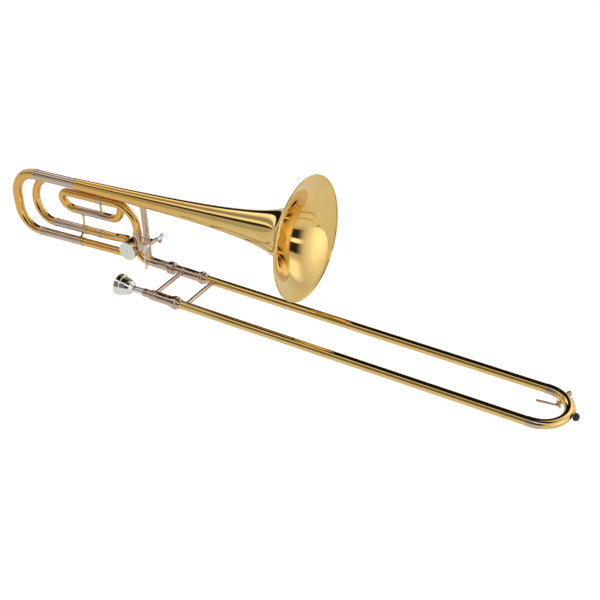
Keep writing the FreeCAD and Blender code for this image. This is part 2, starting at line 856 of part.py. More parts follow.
def valve_cap():
    """The screwed front cap, with a coined edge and a shallow recess at its centre."""
    cap = valve_rod(CAP_Y, CAP_R).cut(valve_rod((CAP_Y[0] + 1.6, CAP_Y[1]), CASING_R + 0.01))
    cap = cap.cut(valve_rod((CAP_Y[0] - 1, CAP_Y[0] + 1), 3.0))
    nicks = []
    count = 40
    for index in range(count):
        angle = 2 * math.pi * index / count
        x = VALVE.x + (CAP_R + 0.25) * math.cos(angle)
        z = VALVE.z + (CAP_R + 0.25) * math.sin(angle)
        nicks.append(rod(vec(x, CAP_Y[0] + 1.2, z), vec(x, CAP_Y[1] - 0.6, z), 0.6))
    return cap.cut(nicks)


def bearing_plates():
    """The two plates that carry the rotor's spindle."""
    front = valve_rod((CASING_Y[0], CASING_Y[0] + 3.0), CASING_BORE_R)
    back = valve_rod(BACK_PLATE_Y, CASING_R)
    hole = valve_rod((CASING_Y[0] - 1, BACK_PLATE_Y[1] + 1), SPINDLE_R + 0.04)
    return group([front.cut(hole), back.cut(hole)])


def rotor():
    """The rotor, with two passages that each join a pair of neighbouring ports."""
    body = valve_rod((CASING_Y[0] + 3.2, CASING_Y[1] - 0.2), ROTOR_R)
    reach = CASING_BORE_R * math.sqrt(2)
    for direction in (90, 270):
        middle = port_point(direction, reach)
        middle = vec(middle.x, HALF_GAP, middle.z)
        body = body.cut(Part.makeTorus(CASING_BORE_R, PASSAGE_R, middle, Y_AXIS))
    front = valve_rod((CASING_Y[0] + 0.4, CASING_Y[0] + 3.3), SPINDLE_R)
    back = valve_rod((CASING_Y[1] - 0.3, STOP_ARM_Y[1]), SPINDLE_R)
    return fuse([body, front, back])


def around_valve(degrees, distance, y):
    """A point around the rotor's axis; degrees run from +X towards +Z."""
    angle = math.radians(degrees)
    return vec(VALVE.x + math.cos(angle) * distance, y, VALVE.z + math.sin(angle) * distance)


def rotor_stop_arm():
    """The arm on the rotor's spindle: one wing for the link, one for the stops."""
    thickness = 2.6
    y = STOP_ARM_Y[0]
    hub = valve_rod((y, STOP_ARM_Y[1] - 0.4), 4.6)
    wing_foot = around_valve(STOP_REST_DEG + 180, 0, y)
    box = Part.makeBox(
        STOP_WING_LENGTH, thickness, STOP_WING_WIDTH, wing_foot - Z_AXIS * (STOP_WING_WIDTH / 2)
    )
    box.rotate(wing_foot, Y_AXIS, -(STOP_REST_DEG + 180))
    eye_at = around_valve(STOP_REST_DEG, STOP_PIN_RADIUS, y)
    eye = rod(eye_at, eye_at + Y_AXIS * thickness, 2.6)
    pin = rod(eye_at + Y_AXIS * 0.5, vec(eye_at.x, LINK_Y + 2.2, eye_at.z), 1.0)
    whole = fuse([hub, box, eye, pin])
    return whole.cut(valve_rod((y - 1, STOP_ARM_Y[1] + 1), SPINDLE_R))


def rotor_stop_screw():
    head = valve_rod((STOP_ARM_Y[1], STOP_ARM_Y[1] + 1.8), 2.9)
    slot = Part.makeBox(8, 1.0, 0.8, vec(VALVE.x - 4, STOP_ARM_Y[1] + 1.1, VALVE.z - 0.4))
    return head.cut(slot)


def stop_bumpers():
    """Two cork-capped posts on the back plate that the stop wing meets."""
    gap = STOP_WING_WIDTH / 2 + BUMPER_POST_R + 0.05
    radius = 11.0
    posts = []
    for end, sign in ((0, 1), (-90, -1)):
        wing = math.radians(STOP_REST_DEG + 180 + end)
        along = vec(math.cos(wing), 0, math.sin(wing))
        across = vec(-math.sin(wing), 0, math.cos(wing))
        centre = vec(VALVE.x, BACK_PLATE_Y[1], VALVE.z) + along * radius + across * (sign * gap)
        posts.append(rod(centre, centre + Y_AXIS * 5.6, BUMPER_POST_R))
    return group(posts)


# ---- F attachment tubing ----

def f_inlet_tube():
    """From the valve's upper right port up, over and back along the bell's stem."""
    top_corner = bell_point(F_TALL_S, 0, F_TOP_V)
    rise = F_TALL_S - VALVE_S
    low_corner = bell_point(F_TALL_S, 0, VALVE_V + rise)
    points = [
        port_point(45, 8),
        low_corner,
        top_corner,
        bell_point(F_LEFT_BEND_S, 0, F_TOP_V),
    ]
    return into_casing(tube(points, [10.0, F_BEND_R], F_R))


def u_bend(start_s, first, second, towards, corner, radius):
    """A U of tubing between two (y, v) places. towards is -1 for a bend at the back."""
    apart = math.hypot(second[0] - first[0], second[1] - first[1])
    tip_s = start_s + towards * corner
    points = [
        bell_point(start_s, *first),
        bell_point(tip_s, *first),
        bell_point(tip_s, *second),
        bell_point(start_s, *second),
    ]
    corner = min(corner, apart / 2)
    return tube(points, [corner, corner], radius)


def f_left_bow():
    half = math.hypot(F_LOOP_YV[0], F_LOOP_YV[1] - F_TOP_V) / 2
    tip_s = F_LEFT_BEND_S - half
    points = [
        bell_point(F_LEFT_BEND_S, 0, F_TOP_V),
        bell_point(tip_s, 0, F_TOP_V),
        bell_point(tip_s, *F_LOOP_YV),
        bell_point(F_LOOP_LEG_S[0], *F_LOOP_YV),
    ]
    return tube(points, [half, half], F_R)


def f_right_bow():
    """The front U of the loop, with the straight run back behind the bell's stem."""
    points = [
        bell_point(F_LOOP_LEG_S[1], *F_LOOP_YV),
        bell_point(F_RIGHT_TIP_S, *F_LOOP_YV),
        bell_point(F_RIGHT_TIP_S, *F_UPPER_YV),
        bell_point(F_LEG_S[1], *F_UPPER_YV),
    ]
    return tube(points, [F_RIGHT_CORNER, F_RIGHT_CORNER + 5.0], F_R)


def f_loop_leg():
    start, end = F_LOOP_LEG_S
    return sleeve(bell_point(start, *F_LOOP_YV), bell_point(end, *F_LOOP_YV), F_R, F_R - TUBE_WALL)


def f_outer_legs():
    legs = []
    for place in (F_UPPER_YV, F_RETURN_YV):
        legs.append(outer_leg(F_LEG_S, *place, F_OUTER_LEG_R, F_BOW_R + SLIDE_FIT))
    return group(legs)


def f_return_tube():
    """From the tuning slide's lower leg back to the valve's upper left port."""
    rise = 13.4
    points = [
        bell_point(F_LEG_S[1], *F_RETURN_YV),
        bell_point(-425.0, *F_RETURN_YV),
        bell_point(VALVE_S - rise, 0, VALVE_V + rise),
        port_point(135, 8),
    ]
    return into_casing(tube(points, [70.0, 9.0], F_R))


def ring_on(s, y, v, length, radius, bore):
    return outer_leg((s - length / 2, s + length / 2), y, v, radius, bore)


def f_ferrules():
    """Nickel rings over the seams of the F tubing."""
    rings = [
        ring_on(-438.2, 0, F_TOP_V, 10.4, F_R + 0.7, F_R),
        ring_on(-459.5, *F_RETURN_YV, 10.4, F_R + 0.7, F_R),
    ]
    foot = bell_point(F_TALL_S, 0, VALVE_V + 18)
    rings.append(sleeve(foot, foot + BELL_UP * 15, F_R + 0.8, F_R))
    return group(rings)


def strut(first, second, first_clear, second_clear, radius=1.9):
    """A thin stay between two tubes' centres, trimmed to their outsides."""
    along = (second - first).normalize()
    start = first + along * (first_clear - 0.4)
    end = second - along * (second_clear - 0.4)
    stay = rod(start, end, radius)
    shapes = [stay]
    for base, direction in ((start, along), (end, along * -1)):
        shapes.append(cone(base, base + direction * 2.4, radius + 1.6, radius))
    return fuse(shapes)


def f_struts():
    stays = []
    ends = [
        ((-441.5, 0, F_TOP_V, F_R + 0.7), (-450.5, *F_LOOP_YV, F_R)),
        ((-497.0, *F_LOOP_YV, F_R), (-498.5, *F_RETURN_YV, F_OUTER_LEG_R)),
        ((-499.5, *F_RETURN_YV, F_OUTER_LEG_R), (-504.5, 0, -LEG_GAP, LOWER_LEG_R)),
    ]
    for first, second in ends:
        stay = strut(bell_point(*first[:3]), bell_point(*second[:3]), first[3], second[3])
        for s, y, v, radius in (first, second):
            stay = stay.cut(rod(bell_point(s - 20, y, v), bell_point(s + 20, y, v), radius))
        stays.append(stay)
    return group(stays)


# ---- tuning slides ----

def tapered_bend(points, corners, radii, inset, count=9):
    """A bent tube whose radius changes evenly along it, as a loft of round sections."""
    wire = rounded_path(points, corners)
    total = wire.Length
    circles = []
    travelled = 0.0
    for edge in wire.OrderedEdges:
        pieces = count if edge.Curve.TypeId == "Part::GeomCircle" else 1
        for piece in range(pieces + 1):
            if piece == 0 and circles:
                continue
            share = piece / pieces
            parameter = edge.FirstParameter + (edge.LastParameter - edge.FirstParameter) * share
            at = (travelled + edge.Length * share) / total
            radius = radii[0] + (radii[1] - radii[0]) * at - inset
            ring = Part.makeCircle(radius, edge.valueAt(parameter), edge.tangentAt(parameter))
            circles.append(Part.Wire(ring))
        travelled += edge.Length
    return Part.makeLoft(circles, True, False)


def main_bow():
    points = [
        bell_point(UPPER_LEG_S[0] - 0.4, 0, 0),
        bell_point(MAIN_BOW_TIP_S, 0, 0),
        bell_point(MAIN_BOW_TIP_S, 0, -LEG_GAP),
        bell_point(LOWER_LEG_S[0] - 0.4, 0, -LEG_GAP),
    ]
    outer = tapered_bend(points, MAIN_BOW_CORNERS, MAIN_BOW_R, 0)
    return outer.cut(tapered_bend(points, MAIN_BOW_CORNERS, MAIN_BOW_R, TUBE_WALL))


def main_inner_legs():
    legs = []
    for s, v, radius in ((UPPER_LEG_S[0], 0, MAIN_BOW_R[0]), (LOWER_LEG_S[0], -LEG_GAP, MAIN_BOW_R[1])):
        s_range = (s - 0.4, s - 0.4 + INNER_LEG_LENGTH)
        legs.append(outer_leg(s_range, 0, v, radius - 0.3, radius - 0.3 - TUBE_WALL))
    return group(legs)


def f_bow():
    half = math.hypot(F_UPPER_YV[0] - F_RETURN_YV[0], F_UPPER_YV[1] - F_RETURN_YV[1]) / 2
    return u_bend(F_BOW_S, F_UPPER_YV, F_RETURN_YV, -1, half, F_BOW_R + 0.3)


def f_inner_legs():
    legs = []
    for place in (F_UPPER_YV, F_RETURN_YV):
        s_range = (F_BOW_S, F_BOW_S + 66.0)
        legs.append(outer_leg(s_range, *place, F_BOW_R, F_BOW_R - TUBE_WALL))
    return group(legs)


# ---- trigger ----

def link_arm_end():
    angle = math.radians(LINK_ARM_DEG)
    x = SHAFT_X + math.sin(angle) * LINK_ARM_LENGTH
    return vec(x, LINK_Y, SHAFT_Z - math.cos(angle) * LINK_ARM_LENGTH)


def trigger_bearing():
    """The bearing tube for the trigger's shaft, on a saddle on the bell brace."""
    start = vec(SHAFT_X, HALF_GAP - 9.0, SHAFT_Z)
    end = vec(SHAFT_X, HALF_GAP + 9.0, SHAFT_Z)
    barrel = rod(start, end, 3.6)
    foot, head = brace_line()
    saddle = Part.makeBox(6.0, 10.0, 9.0, vec(SHAFT_X - 6.0, HALF_GAP - 5.0, SHAFT_Z - 4.5))
    whole = barrel.fuse(saddle).cut(rod(foot, head, 5.75))
    whole = whole.cut(rod(start - Y_AXIS, end + Y_AXIS, SHAFT_R + 0.05))
    return whole.removeSplitter()


def thumb_arm():
    """The bent arm from the shaft's near end down to the thumb paddle."""
    y = SHAFT_Y[0] + 1.2
    near = vec(SHAFT_X, y, SHAFT_Z)
    knee = vec(SHAFT_X - 5.2, y, SHAFT_Z - 12.5)
    shin = vec(SHAFT_X - 4.8, y - 1.0, SHAFT_Z - 20)
    low = vec(SHAFT_X - 1.8, y - 2.0, SHAFT_Z - 33)
    rods = [rod(near, knee, 1.9), rod(knee, shin, 1.9), rod(shin, low, 1.9)]
    return fuse(rods + [Part.makeSphere(1.9, knee), Part.makeSphere(1.9, shin)])


def trigger_lever():
    """Shaft, thumb arm and linkage arm in one piece."""
    shaft = rod(vec(SHAFT_X, SHAFT_Y[0], SHAFT_Z), vec(SHAFT_X, SHAFT_Y[1], SHAFT_Z), SHAFT_R)
    near = vec(SHAFT_X, SHAFT_Y[0] + 2.2, SHAFT_Z)
    hub = rod(near - Y_AXIS * 2.2, near + Y_AXIS * 2.2, 3.6)
    tail = fuse([rod(near, near - X_AXIS * 17, 1.5), Part.makeSphere(1.5, near - X_AXIS * 17)])
    end = link_arm_end()
    far = vec(SHAFT_X, SHAFT_Y[1] - 2.2, SHAFT_Z)
    far_hub = rod(far - Y_AXIS * 2.2, far + Y_AXIS * 2.2, 3.4)
    foot = vec(end.x, SHAFT_Y[1] - 1.7, end.z)
    arm_root = vec(SHAFT_X, foot.y, SHAFT_Z)
    link_arm = fuse([rod(arm_root, foot, 1.45), rod(foot - Y_AXIS * 1.5, foot + Y_AXIS * 1.5, 2.8)])
    pin = rod(vec(end.x, LINK_Y - 2.4, end.z), foot, 1.0)
    return fuse([shaft, hub, thumb_arm(), tail, far_hub, link_arm, pin])


def thumb_paddle():
    """The flat thumb touch at the lever's lower end."""
    top = vec(SHAFT_X - 3.0, SHAFT_Y[0] - 0.6, SHAFT_Z - 32)
    bottom = vec(SHAFT_X - 3.0, SHAFT_Y[0] - 1.6, SHAFT_Z - 43)
    width = 3.8
    plate = fuse([rod(top, top + X_AXIS * 1.8, width), rod(bottom, bottom + X_AXIS * 1.8, width)])
    along = bottom - top
    across = along.cross(X_AXIS).normalize() * width
    corners = [top + across, top - across, bottom - across, bottom + across, top + across]
    plate = fuse([plate, Part.Face(Part.makePolygon(corners)).extrude(X_AXIS * 1.8)])
    plate.translate(X_AXIS * 1.2)
    return plate.cut(thumb_arm())


def trigger_spring():
    """The close-wound torsion spring beside the bearing tube, as touching coils."""
    wire = 0.6
    pitch = 1.12
    start_y = HALF_GAP + 9.6
    coils = []
    for turn in range(4):
        centre = vec(SHAFT_X, start_y + wire + pitch * turn, SHAFT_Z)
        coils.append(Part.makeTorus(SHAFT_R + 1.1, wire, centre, Y_AXIS))
    return fuse(coils)


def link_rod():
    """The rod from the linkage arm to the rotor's stop arm, with an eye at each end."""
    near = link_arm_end()
    near.y = LINK_Y - 1.2
    far = around_valve(STOP_REST_DEG, STOP_PIN_RADIUS, LINK_Y - 1.2)
    far = far + Z_AXIS * 1.2
    depth = Y_AXIS * 2.4
    along = (far - near).normalize()
    middle = Y_AXIS * 1.2
    shapes = [
        rod(near + along * 2.2 + middle, far - along * 3.4 + middle, 1.1),
        rod(near, near + depth, 2.5),
        rod(far, far + depth, 4.2),
    ]
    whole = fuse(shapes)
    whole = whole.cut(rod(near - depth, near + depth * 2, 1.06))
    return whole.cut(rod(far - depth, far + depth * 2, 2.6))


def bell_section_parts():
    save(bell_shell(BELL_SEAM_S, 0.0, 15), "bell_flare")
    save(bell_shell(BELL_TAIL_S, BELL_SEAM_S, 7), "bell_stem")
    save(bell_bead(), "bell_bead")
    save(upper_outer_leg(), "upper_outer_leg")
    save(lower_outer_leg(), "lower_outer_leg")
    save(valve_inlet_tube(), "valve_inlet_tube")
    save(gooseneck_elbow(), "gooseneck_elbow")
    save(gooseneck(), "gooseneck")
    save(bell_lock_nut(), "bell_lock_nut")
    save(bell_brace(), "bell_brace")
    save(brace_flanges(), "brace_flanges")
    save(valve_casing(), "valve_casing")
    save(valve_cap(), "valve_cap")
    save(bearing_plates(), "rotor_bearing_plates")
    save(rotor(), "rotor")
    save(rotor_stop_arm(), "rotor_stop_arm")
    save(rotor_stop_screw(), "rotor_stop_screw")
    save(stop_bumpers(), "stop_bumpers")
    save(f_inlet_tube(), "f_inlet_tube")
    save(f_left_bow(), "f_left_bow")
    save(f_loop_leg(), "f_loop_leg")
    save(f_right_bow(), "f_right_bow")
    save(f_outer_legs(), "f_outer_legs")
    save(f_return_tube(), "f_return_tube")
    save(f_ferrules(), "f_ferrules")
    save(f_struts(), "f_struts")
    save(main_bow(), "main_bow")
    save(main_inner_legs(), "main_inner_legs")
    save(f_bow(), "f_bow")
    save(f_inner_legs(), "f_inner_legs")


def trigger_parts():
    save(trigger_bearing(), "trigger_bearing")
    save(trigger_lever(), "trigger_lever")
    save(thumb_paddle(), "thumb_paddle")
    save(trigger_spring(), "trigger_spring")
    save(link_rod(), "link_rod")


os.makedirs("parts", exist_ok=True)
hand_slide_parts()
save(mouthpiece(), "mouthpiece")
bell_section_parts()
trigger_parts()
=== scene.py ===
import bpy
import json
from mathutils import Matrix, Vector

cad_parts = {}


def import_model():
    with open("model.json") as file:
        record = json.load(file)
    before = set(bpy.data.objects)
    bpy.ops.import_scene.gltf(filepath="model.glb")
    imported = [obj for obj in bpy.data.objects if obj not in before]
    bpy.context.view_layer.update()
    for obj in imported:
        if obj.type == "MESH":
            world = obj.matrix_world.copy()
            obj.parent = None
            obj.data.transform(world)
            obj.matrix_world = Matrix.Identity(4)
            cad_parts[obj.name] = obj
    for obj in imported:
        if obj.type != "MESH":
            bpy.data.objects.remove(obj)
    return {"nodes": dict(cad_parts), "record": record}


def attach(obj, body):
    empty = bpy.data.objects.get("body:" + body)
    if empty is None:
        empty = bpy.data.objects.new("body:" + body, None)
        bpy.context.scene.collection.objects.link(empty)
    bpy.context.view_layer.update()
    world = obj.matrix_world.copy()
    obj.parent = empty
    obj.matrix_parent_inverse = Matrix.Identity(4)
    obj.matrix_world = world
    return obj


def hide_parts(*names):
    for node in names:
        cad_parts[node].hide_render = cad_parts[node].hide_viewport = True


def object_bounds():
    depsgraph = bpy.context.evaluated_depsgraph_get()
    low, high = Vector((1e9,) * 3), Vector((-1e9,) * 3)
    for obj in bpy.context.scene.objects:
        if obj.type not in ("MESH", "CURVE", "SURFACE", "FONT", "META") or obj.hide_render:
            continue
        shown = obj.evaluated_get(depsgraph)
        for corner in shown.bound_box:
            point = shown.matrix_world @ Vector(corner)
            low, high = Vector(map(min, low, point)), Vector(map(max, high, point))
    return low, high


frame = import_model()
cad_box = [list(corner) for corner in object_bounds()]

import json
import math

import bpy
import bmesh
from mathutils import Matrix, Vector

# A tenor trombone with an F attachment, in metres, in the CAD model's frame: +X runs
# along the hand slide, +Y towards the bell side and +Z up towards the bell.
# The bell section has a frame of its own: s along the bell's axis (0 at the rim),
# y sideways from the bell's plane and v across the axis, upwards.

RECORD = frame["record"]
NODES = frame["nodes"]
MOUNTS = {mount["name"]: mount for mount in RECORD["mounts"]}
JOINTS = {joint["name"]: joint for joint in RECORD["behaviour"]["joints"]}
SLOT_OF = {part["node"]: part["material_slot"] for part in RECORD["subparts"]}
BODY_OF = {}
for body_name, members in RECORD["behaviour"]["bodies"].items():
    for member in members:
        BODY_OF[member] = body_name

MM = 0.001
RIM_CENTRE = Vector(MOUNTS["bell_mouth"]["pos_m"])
BELL_AXIS = Vector(MOUNTS["bell_mouth"]["axis"]).normalized()
SIDE = Vector((0, 1, 0))
ALONG = Vector((1, 0, 0))
BELL_UP = BELL_AXIS.cross(SIDE)
VALVE = Vector(JOINTS["rotor_turn"]["pos_m"])

# sizes that the frame's boxes don't tell
TUBE_WALL = 0.45 * MM
BELL_WALL = 0.55 * MM
FLARE_SHIFT = 19.0 * MM      # the flare is r = rim ((shift - s) / shift) ^ -power
FLARE_POWER = 0.7
MAIN_BOW_CORNERS = (55.0 * MM, 46.0 * MM)
TALL_BEND_R = 42.0 * MM
BORE_R = 6.95 * MM
BARREL_BORE_R = 8.3 * MM
PORT_OVERLAP = 0.8 * MM      # how far a tube's end is sunk in the valve casing
FERRULE_ARC_DEG = 22         # how far the bow's ferrules follow the bow
BETWEEN_LEGS_V = -50 * MM    # lies between the upper and the lower of each pair of legs

# the valve's four ports, as turns from BELL_AXIS towards BELL_UP
INLET_PORT_DEG = 225
OUTLET_PORT_DEG = 315
LOOP_START_PORT_DEG = 45
LOOP_END_PORT_DEG = 135


# ---- places ----

def bell_point(s, y, v):
    return RIM_CENTRE + BELL_AXIS * s + SIDE * y + BELL_UP * v


def in_bell_frame(point):
    offset = point - RIM_CENTRE
    return Vector((offset.dot(BELL_AXIS), offset.dot(SIDE), offset.dot(BELL_UP)))


def extent(node, keep=None, bell=False):
    """Lowest and highest corner of a node, or of the part of it that keep picks."""
    low = Vector((1e9, 1e9, 1e9))
    high = -low
    for vertex in NODES[node].data.vertices:
        place = in_bell_frame(vertex.co) if bell else vertex.co
        if keep is None or keep(place):
            low = Vector(map(min, low, place))
            high = Vector(map(max, high, place))
    return low, high


class Run:
    """A straight round part along X or along the bell's axis, measured from its node."""

    def __init__(self, node, keep=None, bell=False):
        low, high = extent(node, keep, bell)
        self.start = low.x
        self.end = high.x
        self.y = (low.y + high.y) / 2
        self.z = (low.z + high.z) / 2
        self.radius = (high.y - low.y) / 2
        self.bell = bell

    def point(self, along):
        if self.bell:
            return bell_point(along, self.y, self.z)
        return Vector((along, self.y, self.z))

    def axis(self):
        return BELL_AXIS if self.bell else ALONG


# ---- meshes, as lists of vertices and faces ----

ON_AXIS = 1e-7               # a radius below this is a point on the axis
NO_LENGTH = 1e-9
LEAST_TURN_DEG = 25          # gentler corners of a profile stay as they are
CORNER_SHARE = 0.45          # of an edge, the most that one rounded corner takes up
LEAST_RUN = 0.01 * MM        # a shorter straight run of a route is left out


def joined(shapes):
    """Several (vertices, faces) pairs as one."""
    vertices = []
    faces = []
    for more_vertices, more_faces in shapes:
        first = len(vertices)
        vertices.extend(more_vertices)
        faces.extend(tuple(index + first for index in face) for face in more_faces)
    return vertices, faces


def skin(rings, closed):
    """Faces between rings of vertex numbers; a ring of one is a pole."""
    faces = []
    pairs = list(zip(rings, rings[1:]))
    if closed:
        pairs.append((rings[-1], rings[0]))
    for first, second in pairs:
        count = max(len(first), len(second))
        if count == 1:
            continue
        for index in range(count):
            after = (index + 1) % count
            if len(first) == 1:
                faces.append((first[0], second[after], second[index]))
            elif len(second) == 1:
                faces.append((first[index], first[after], second[0]))
            else:
                faces.append((first[index], first[after], second[after], second[index]))
    return faces


def soften(profile, radius, steps=3):
    """Rounds the corners of a closed profile of (along, radius) pairs, except on the axis."""
    result = []
    count = len(profile)
    for index, corner in enumerate(profile):
        here = Vector(corner)
        before = Vector(profile[index - 1])
        after = Vector(profile[(index + 1) % count])
        to_before = before - here
        to_after = after - here
        if corner[1] < ON_AXIS or min(to_before.length, to_after.length) < NO_LENGTH:
            result.append(tuple(corner))
            continue
        turn = math.degrees(math.pi - to_before.angle(to_after))
        if turn < LEAST_TURN_DEG:
            result.append(tuple(corner))
            continue
        first = here + to_before.normalized() * min(radius, to_before.length * CORNER_SHARE)
        last = here + to_after.normalized() * min(radius, to_after.length * CORNER_SHARE)
        for step in range(steps + 1):
            t = step / steps
            result.append(tuple(first * (1 - t) ** 2 + here * 2 * t * (1 - t) + last * t ** 2))
    return result


def lathe(profile, origin, axis, segments=96, hollow=True):
    """A solid of revolution. A hollow one's profile is a closed loop round its section."""
    axis = axis.normalized()
    across = axis.orthogonal().normalized()
    third = axis.cross(across)
    vertices = []
    rings = []
    for along, radius in profile:
        centre = origin + axis * along
        first = len(vertices)
        if radius < ON_AXIS:
            vertices.append(centre)
            rings.append([first])
            continue
        for index in range(segments):
            angle = 2 * math.pi * index / segments
            outward = across * (radius * math.cos(angle))
            vertices.append(centre + outward + third * (radius * math.sin(angle)))
        rings.append(list(range(first, first + segments)))
    return vertices, skin(rings, hollow)


def sleeve(run, bore, edge=0.2 * MM):
    """A round tube over a Run's length, with rounded edges."""
    profile = [
        (run.start, bore),
        (run.start, run.radius),
        (run.end, run.radius),
        (run.end, bore),
    ]
    return lathe(soften(profile, edge), run.point(0), run.axis())


def route(points, radii, step_deg=4):
    """(position, tangent) samples along straight runs joined by tangent arcs."""
    samples = []
    at = points[0]
    for corner, following, radius in zip(points[1:-1], points[2:], radii):
        before = (corner - at).normalized()
        after = (following - corner).normalized()
        turn = before.angle(after)
        reach = radius * math.tan(turn / 2)
        start = corner - before * reach
        if (start - at).length > LEAST_RUN:
            samples.append((at, before))
        inward = (after - before).normalized()
        centre = corner + inward * (radius / math.cos(turn / 2))
        spin_axis = before.cross(after).normalized()
        steps = max(4, round(math.degrees(turn) / step_deg))
        for step in range(steps + 1):
            spin = Matrix.Rotation(turn * step / steps, 3, spin_axis)
            samples.append((centre + spin @ (start - centre), spin @ before))
        at = corner + after * reach
    last = points[-1] - at
    if last.length > LEAST_RUN:
        samples.append((points[-1], last.normalized()))
    return samples


def along_route(samples):
    """Distance of each sample from the first."""
    distances = [0.0]
    for (before, _), (after, _) in zip(samples, samples[1:]):
        distances.append(distances[-1] + (after - before).length)
    return distances


def carried_frames(samples):
    """A pair of cross directions at each sample, turned along with the route."""
    tangent = samples[0][1]
    across = tangent.orthogonal().normalized()
    frames = []
    for _, heading in samples:
        across = (tangent.rotation_difference(heading) @ across).normalized()
        tangent = heading
        across = (across - tangent * across.dot(tangent)).normalized()
        frames.append((across, tangent.cross(across)))
    return frames


def pipe(samples, outer, inner, segments=64):
    """A bent tube. outer and inner are radii, or functions of the distance along it."""
    distances = along_route(samples)
    frames = carried_frames(samples)
    vertices = []
    rings = []

    def add_ring(index, radius):
        size = radius(distances[index]) if callable(radius) else radius
        across, third = frames[index]
        first = len(vertices)
        for step in range(segments):
            angle = 2 * math.pi * step / segments
            offset = across * math.cos(angle) + third * math.sin(angle)
            vertices.append(samples[index][0] + offset * size)
        rings.append(list(range(first, first + segments)))

    order = list(range(len(samples)))
    for index in order:
        add_ring(index, outer)
    for index in reversed(order):
        add_ring(index, inner)
    return vertices, skin(rings, True)


# ---- pieces ----

def add_object(name, shape, sharp_deg):
    vertices, faces = shape
    mesh = bpy.data.meshes.new(name)
    mesh.from_pydata([tuple(vertex) for vertex in vertices], [], faces)
    mesh.validate()
    work = bmesh.new()
    work.from_mesh(mesh)
    bmesh.ops.recalc_face_normals(work, faces=work.faces)
    work.to_mesh(mesh)
    work.free()
    for polygon in mesh.polygons:
        polygon.use_smooth = True
    mesh.set_sharp_from_angle(angle=math.radians(sharp_deg))
    piece = bpy.data.objects.new(name, mesh)
    bpy.context.collection.objects.link(piece)
    return piece


def stand_for(node, shape, sharp_deg=40):
    """A finer piece in place of a CAD node, in that node's material."""
    piece = add_object("fine_" + node, shape, sharp_deg)
    piece.data.materials.append(MATERIALS[SLOT_OF[node]])
    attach(piece, BODY_OF[node])
    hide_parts(node)
    return piece


# ---- materials ----

NOISE_LOW = 0.3              # noise mostly lies between these
NOISE_HIGH = 0.7
DEEPER_X = (-0.15, 0.15)     # the brass changes from its deeper colour along this stretch
CLOUD_SCALE = 22
POLISH_SCALE = 160
MARK_SCALE = 900
MARK_STRETCH = (0.15, 1, 1)  # buffing marks run along X


def new_material(name):
    material = bpy.data.materials.new(name)
    material.use_nodes = True
    nodes = material.node_tree.nodes
    nodes.clear()
    output = nodes.new("ShaderNodeOutputMaterial")
    shader = nodes.new("ShaderNodeBsdfPrincipled")
    material.node_tree.links.new(shader.outputs["BSDF"], output.inputs["Surface"])
    return material, shader


def noise(material, scale, detail_level, stretch=(1, 1, 1)):
    """Noise in object space, which here is the model's own frame."""
    nodes = material.node_tree.nodes
    links = material.node_tree.links
    place = nodes.new("ShaderNodeTexCoord")
    mapping = nodes.new("ShaderNodeMapping")
    mapping.inputs["Scale"].default_value = stretch
    texture = nodes.new("ShaderNodeTexNoise")
    texture.inputs["Scale"].default_value = scale
    texture.inputs["Detail"].default_value = detail_level
    links.new(place.outputs["Object"], mapping.inputs["Vector"])
    links.new(mapping.outputs["Vector"], texture.inputs["Vector"])
    return texture.outputs["Fac"]


def fill_ramp(node, stops):
    """Gives a colour ramp its stops, which are (position, colour)."""
    elements = node.color_ramp.elements
    while len(elements) > 1:
        elements.remove(elements[-1])
    elements[0].position = stops[0][0]
    elements[0].color = (*stops[0][1], 1)
    for position, colour in stops[1:]:
        element = elements.new(position)
        element.color = (*colour, 1)


def ramp(material, source, stops):
    node = material.node_tree.nodes.new("ShaderNodeValToRGB")
    fill_ramp(node, stops)
    material.node_tree.links.new(source, node.inputs["Fac"])
    return node.outputs["Color"]


def span(material, source, low, high):
    """Maps the values that noise mostly has to low and high."""
    node = material.node_tree.nodes.new("ShaderNodeMapRange")
    node.inputs["From Min"].default_value = NOISE_LOW
    node.inputs["From Max"].default_value = NOISE_HIGH
    node.inputs["To Min"].default_value = low
    node.inputs["To Max"].default_value = high
    material.node_tree.links.new(source, node.inputs["Value"])
    return node.outputs["Result"]


def bump(material, source, height, strength):
    node = material.node_tree.nodes.new("ShaderNodeBump")
    node.inputs["Distance"].default_value = height
    node.inputs["Strength"].default_value = strength
    material.node_tree.links.new(source, node.inputs["Height"])
    return node.outputs["Normal"]


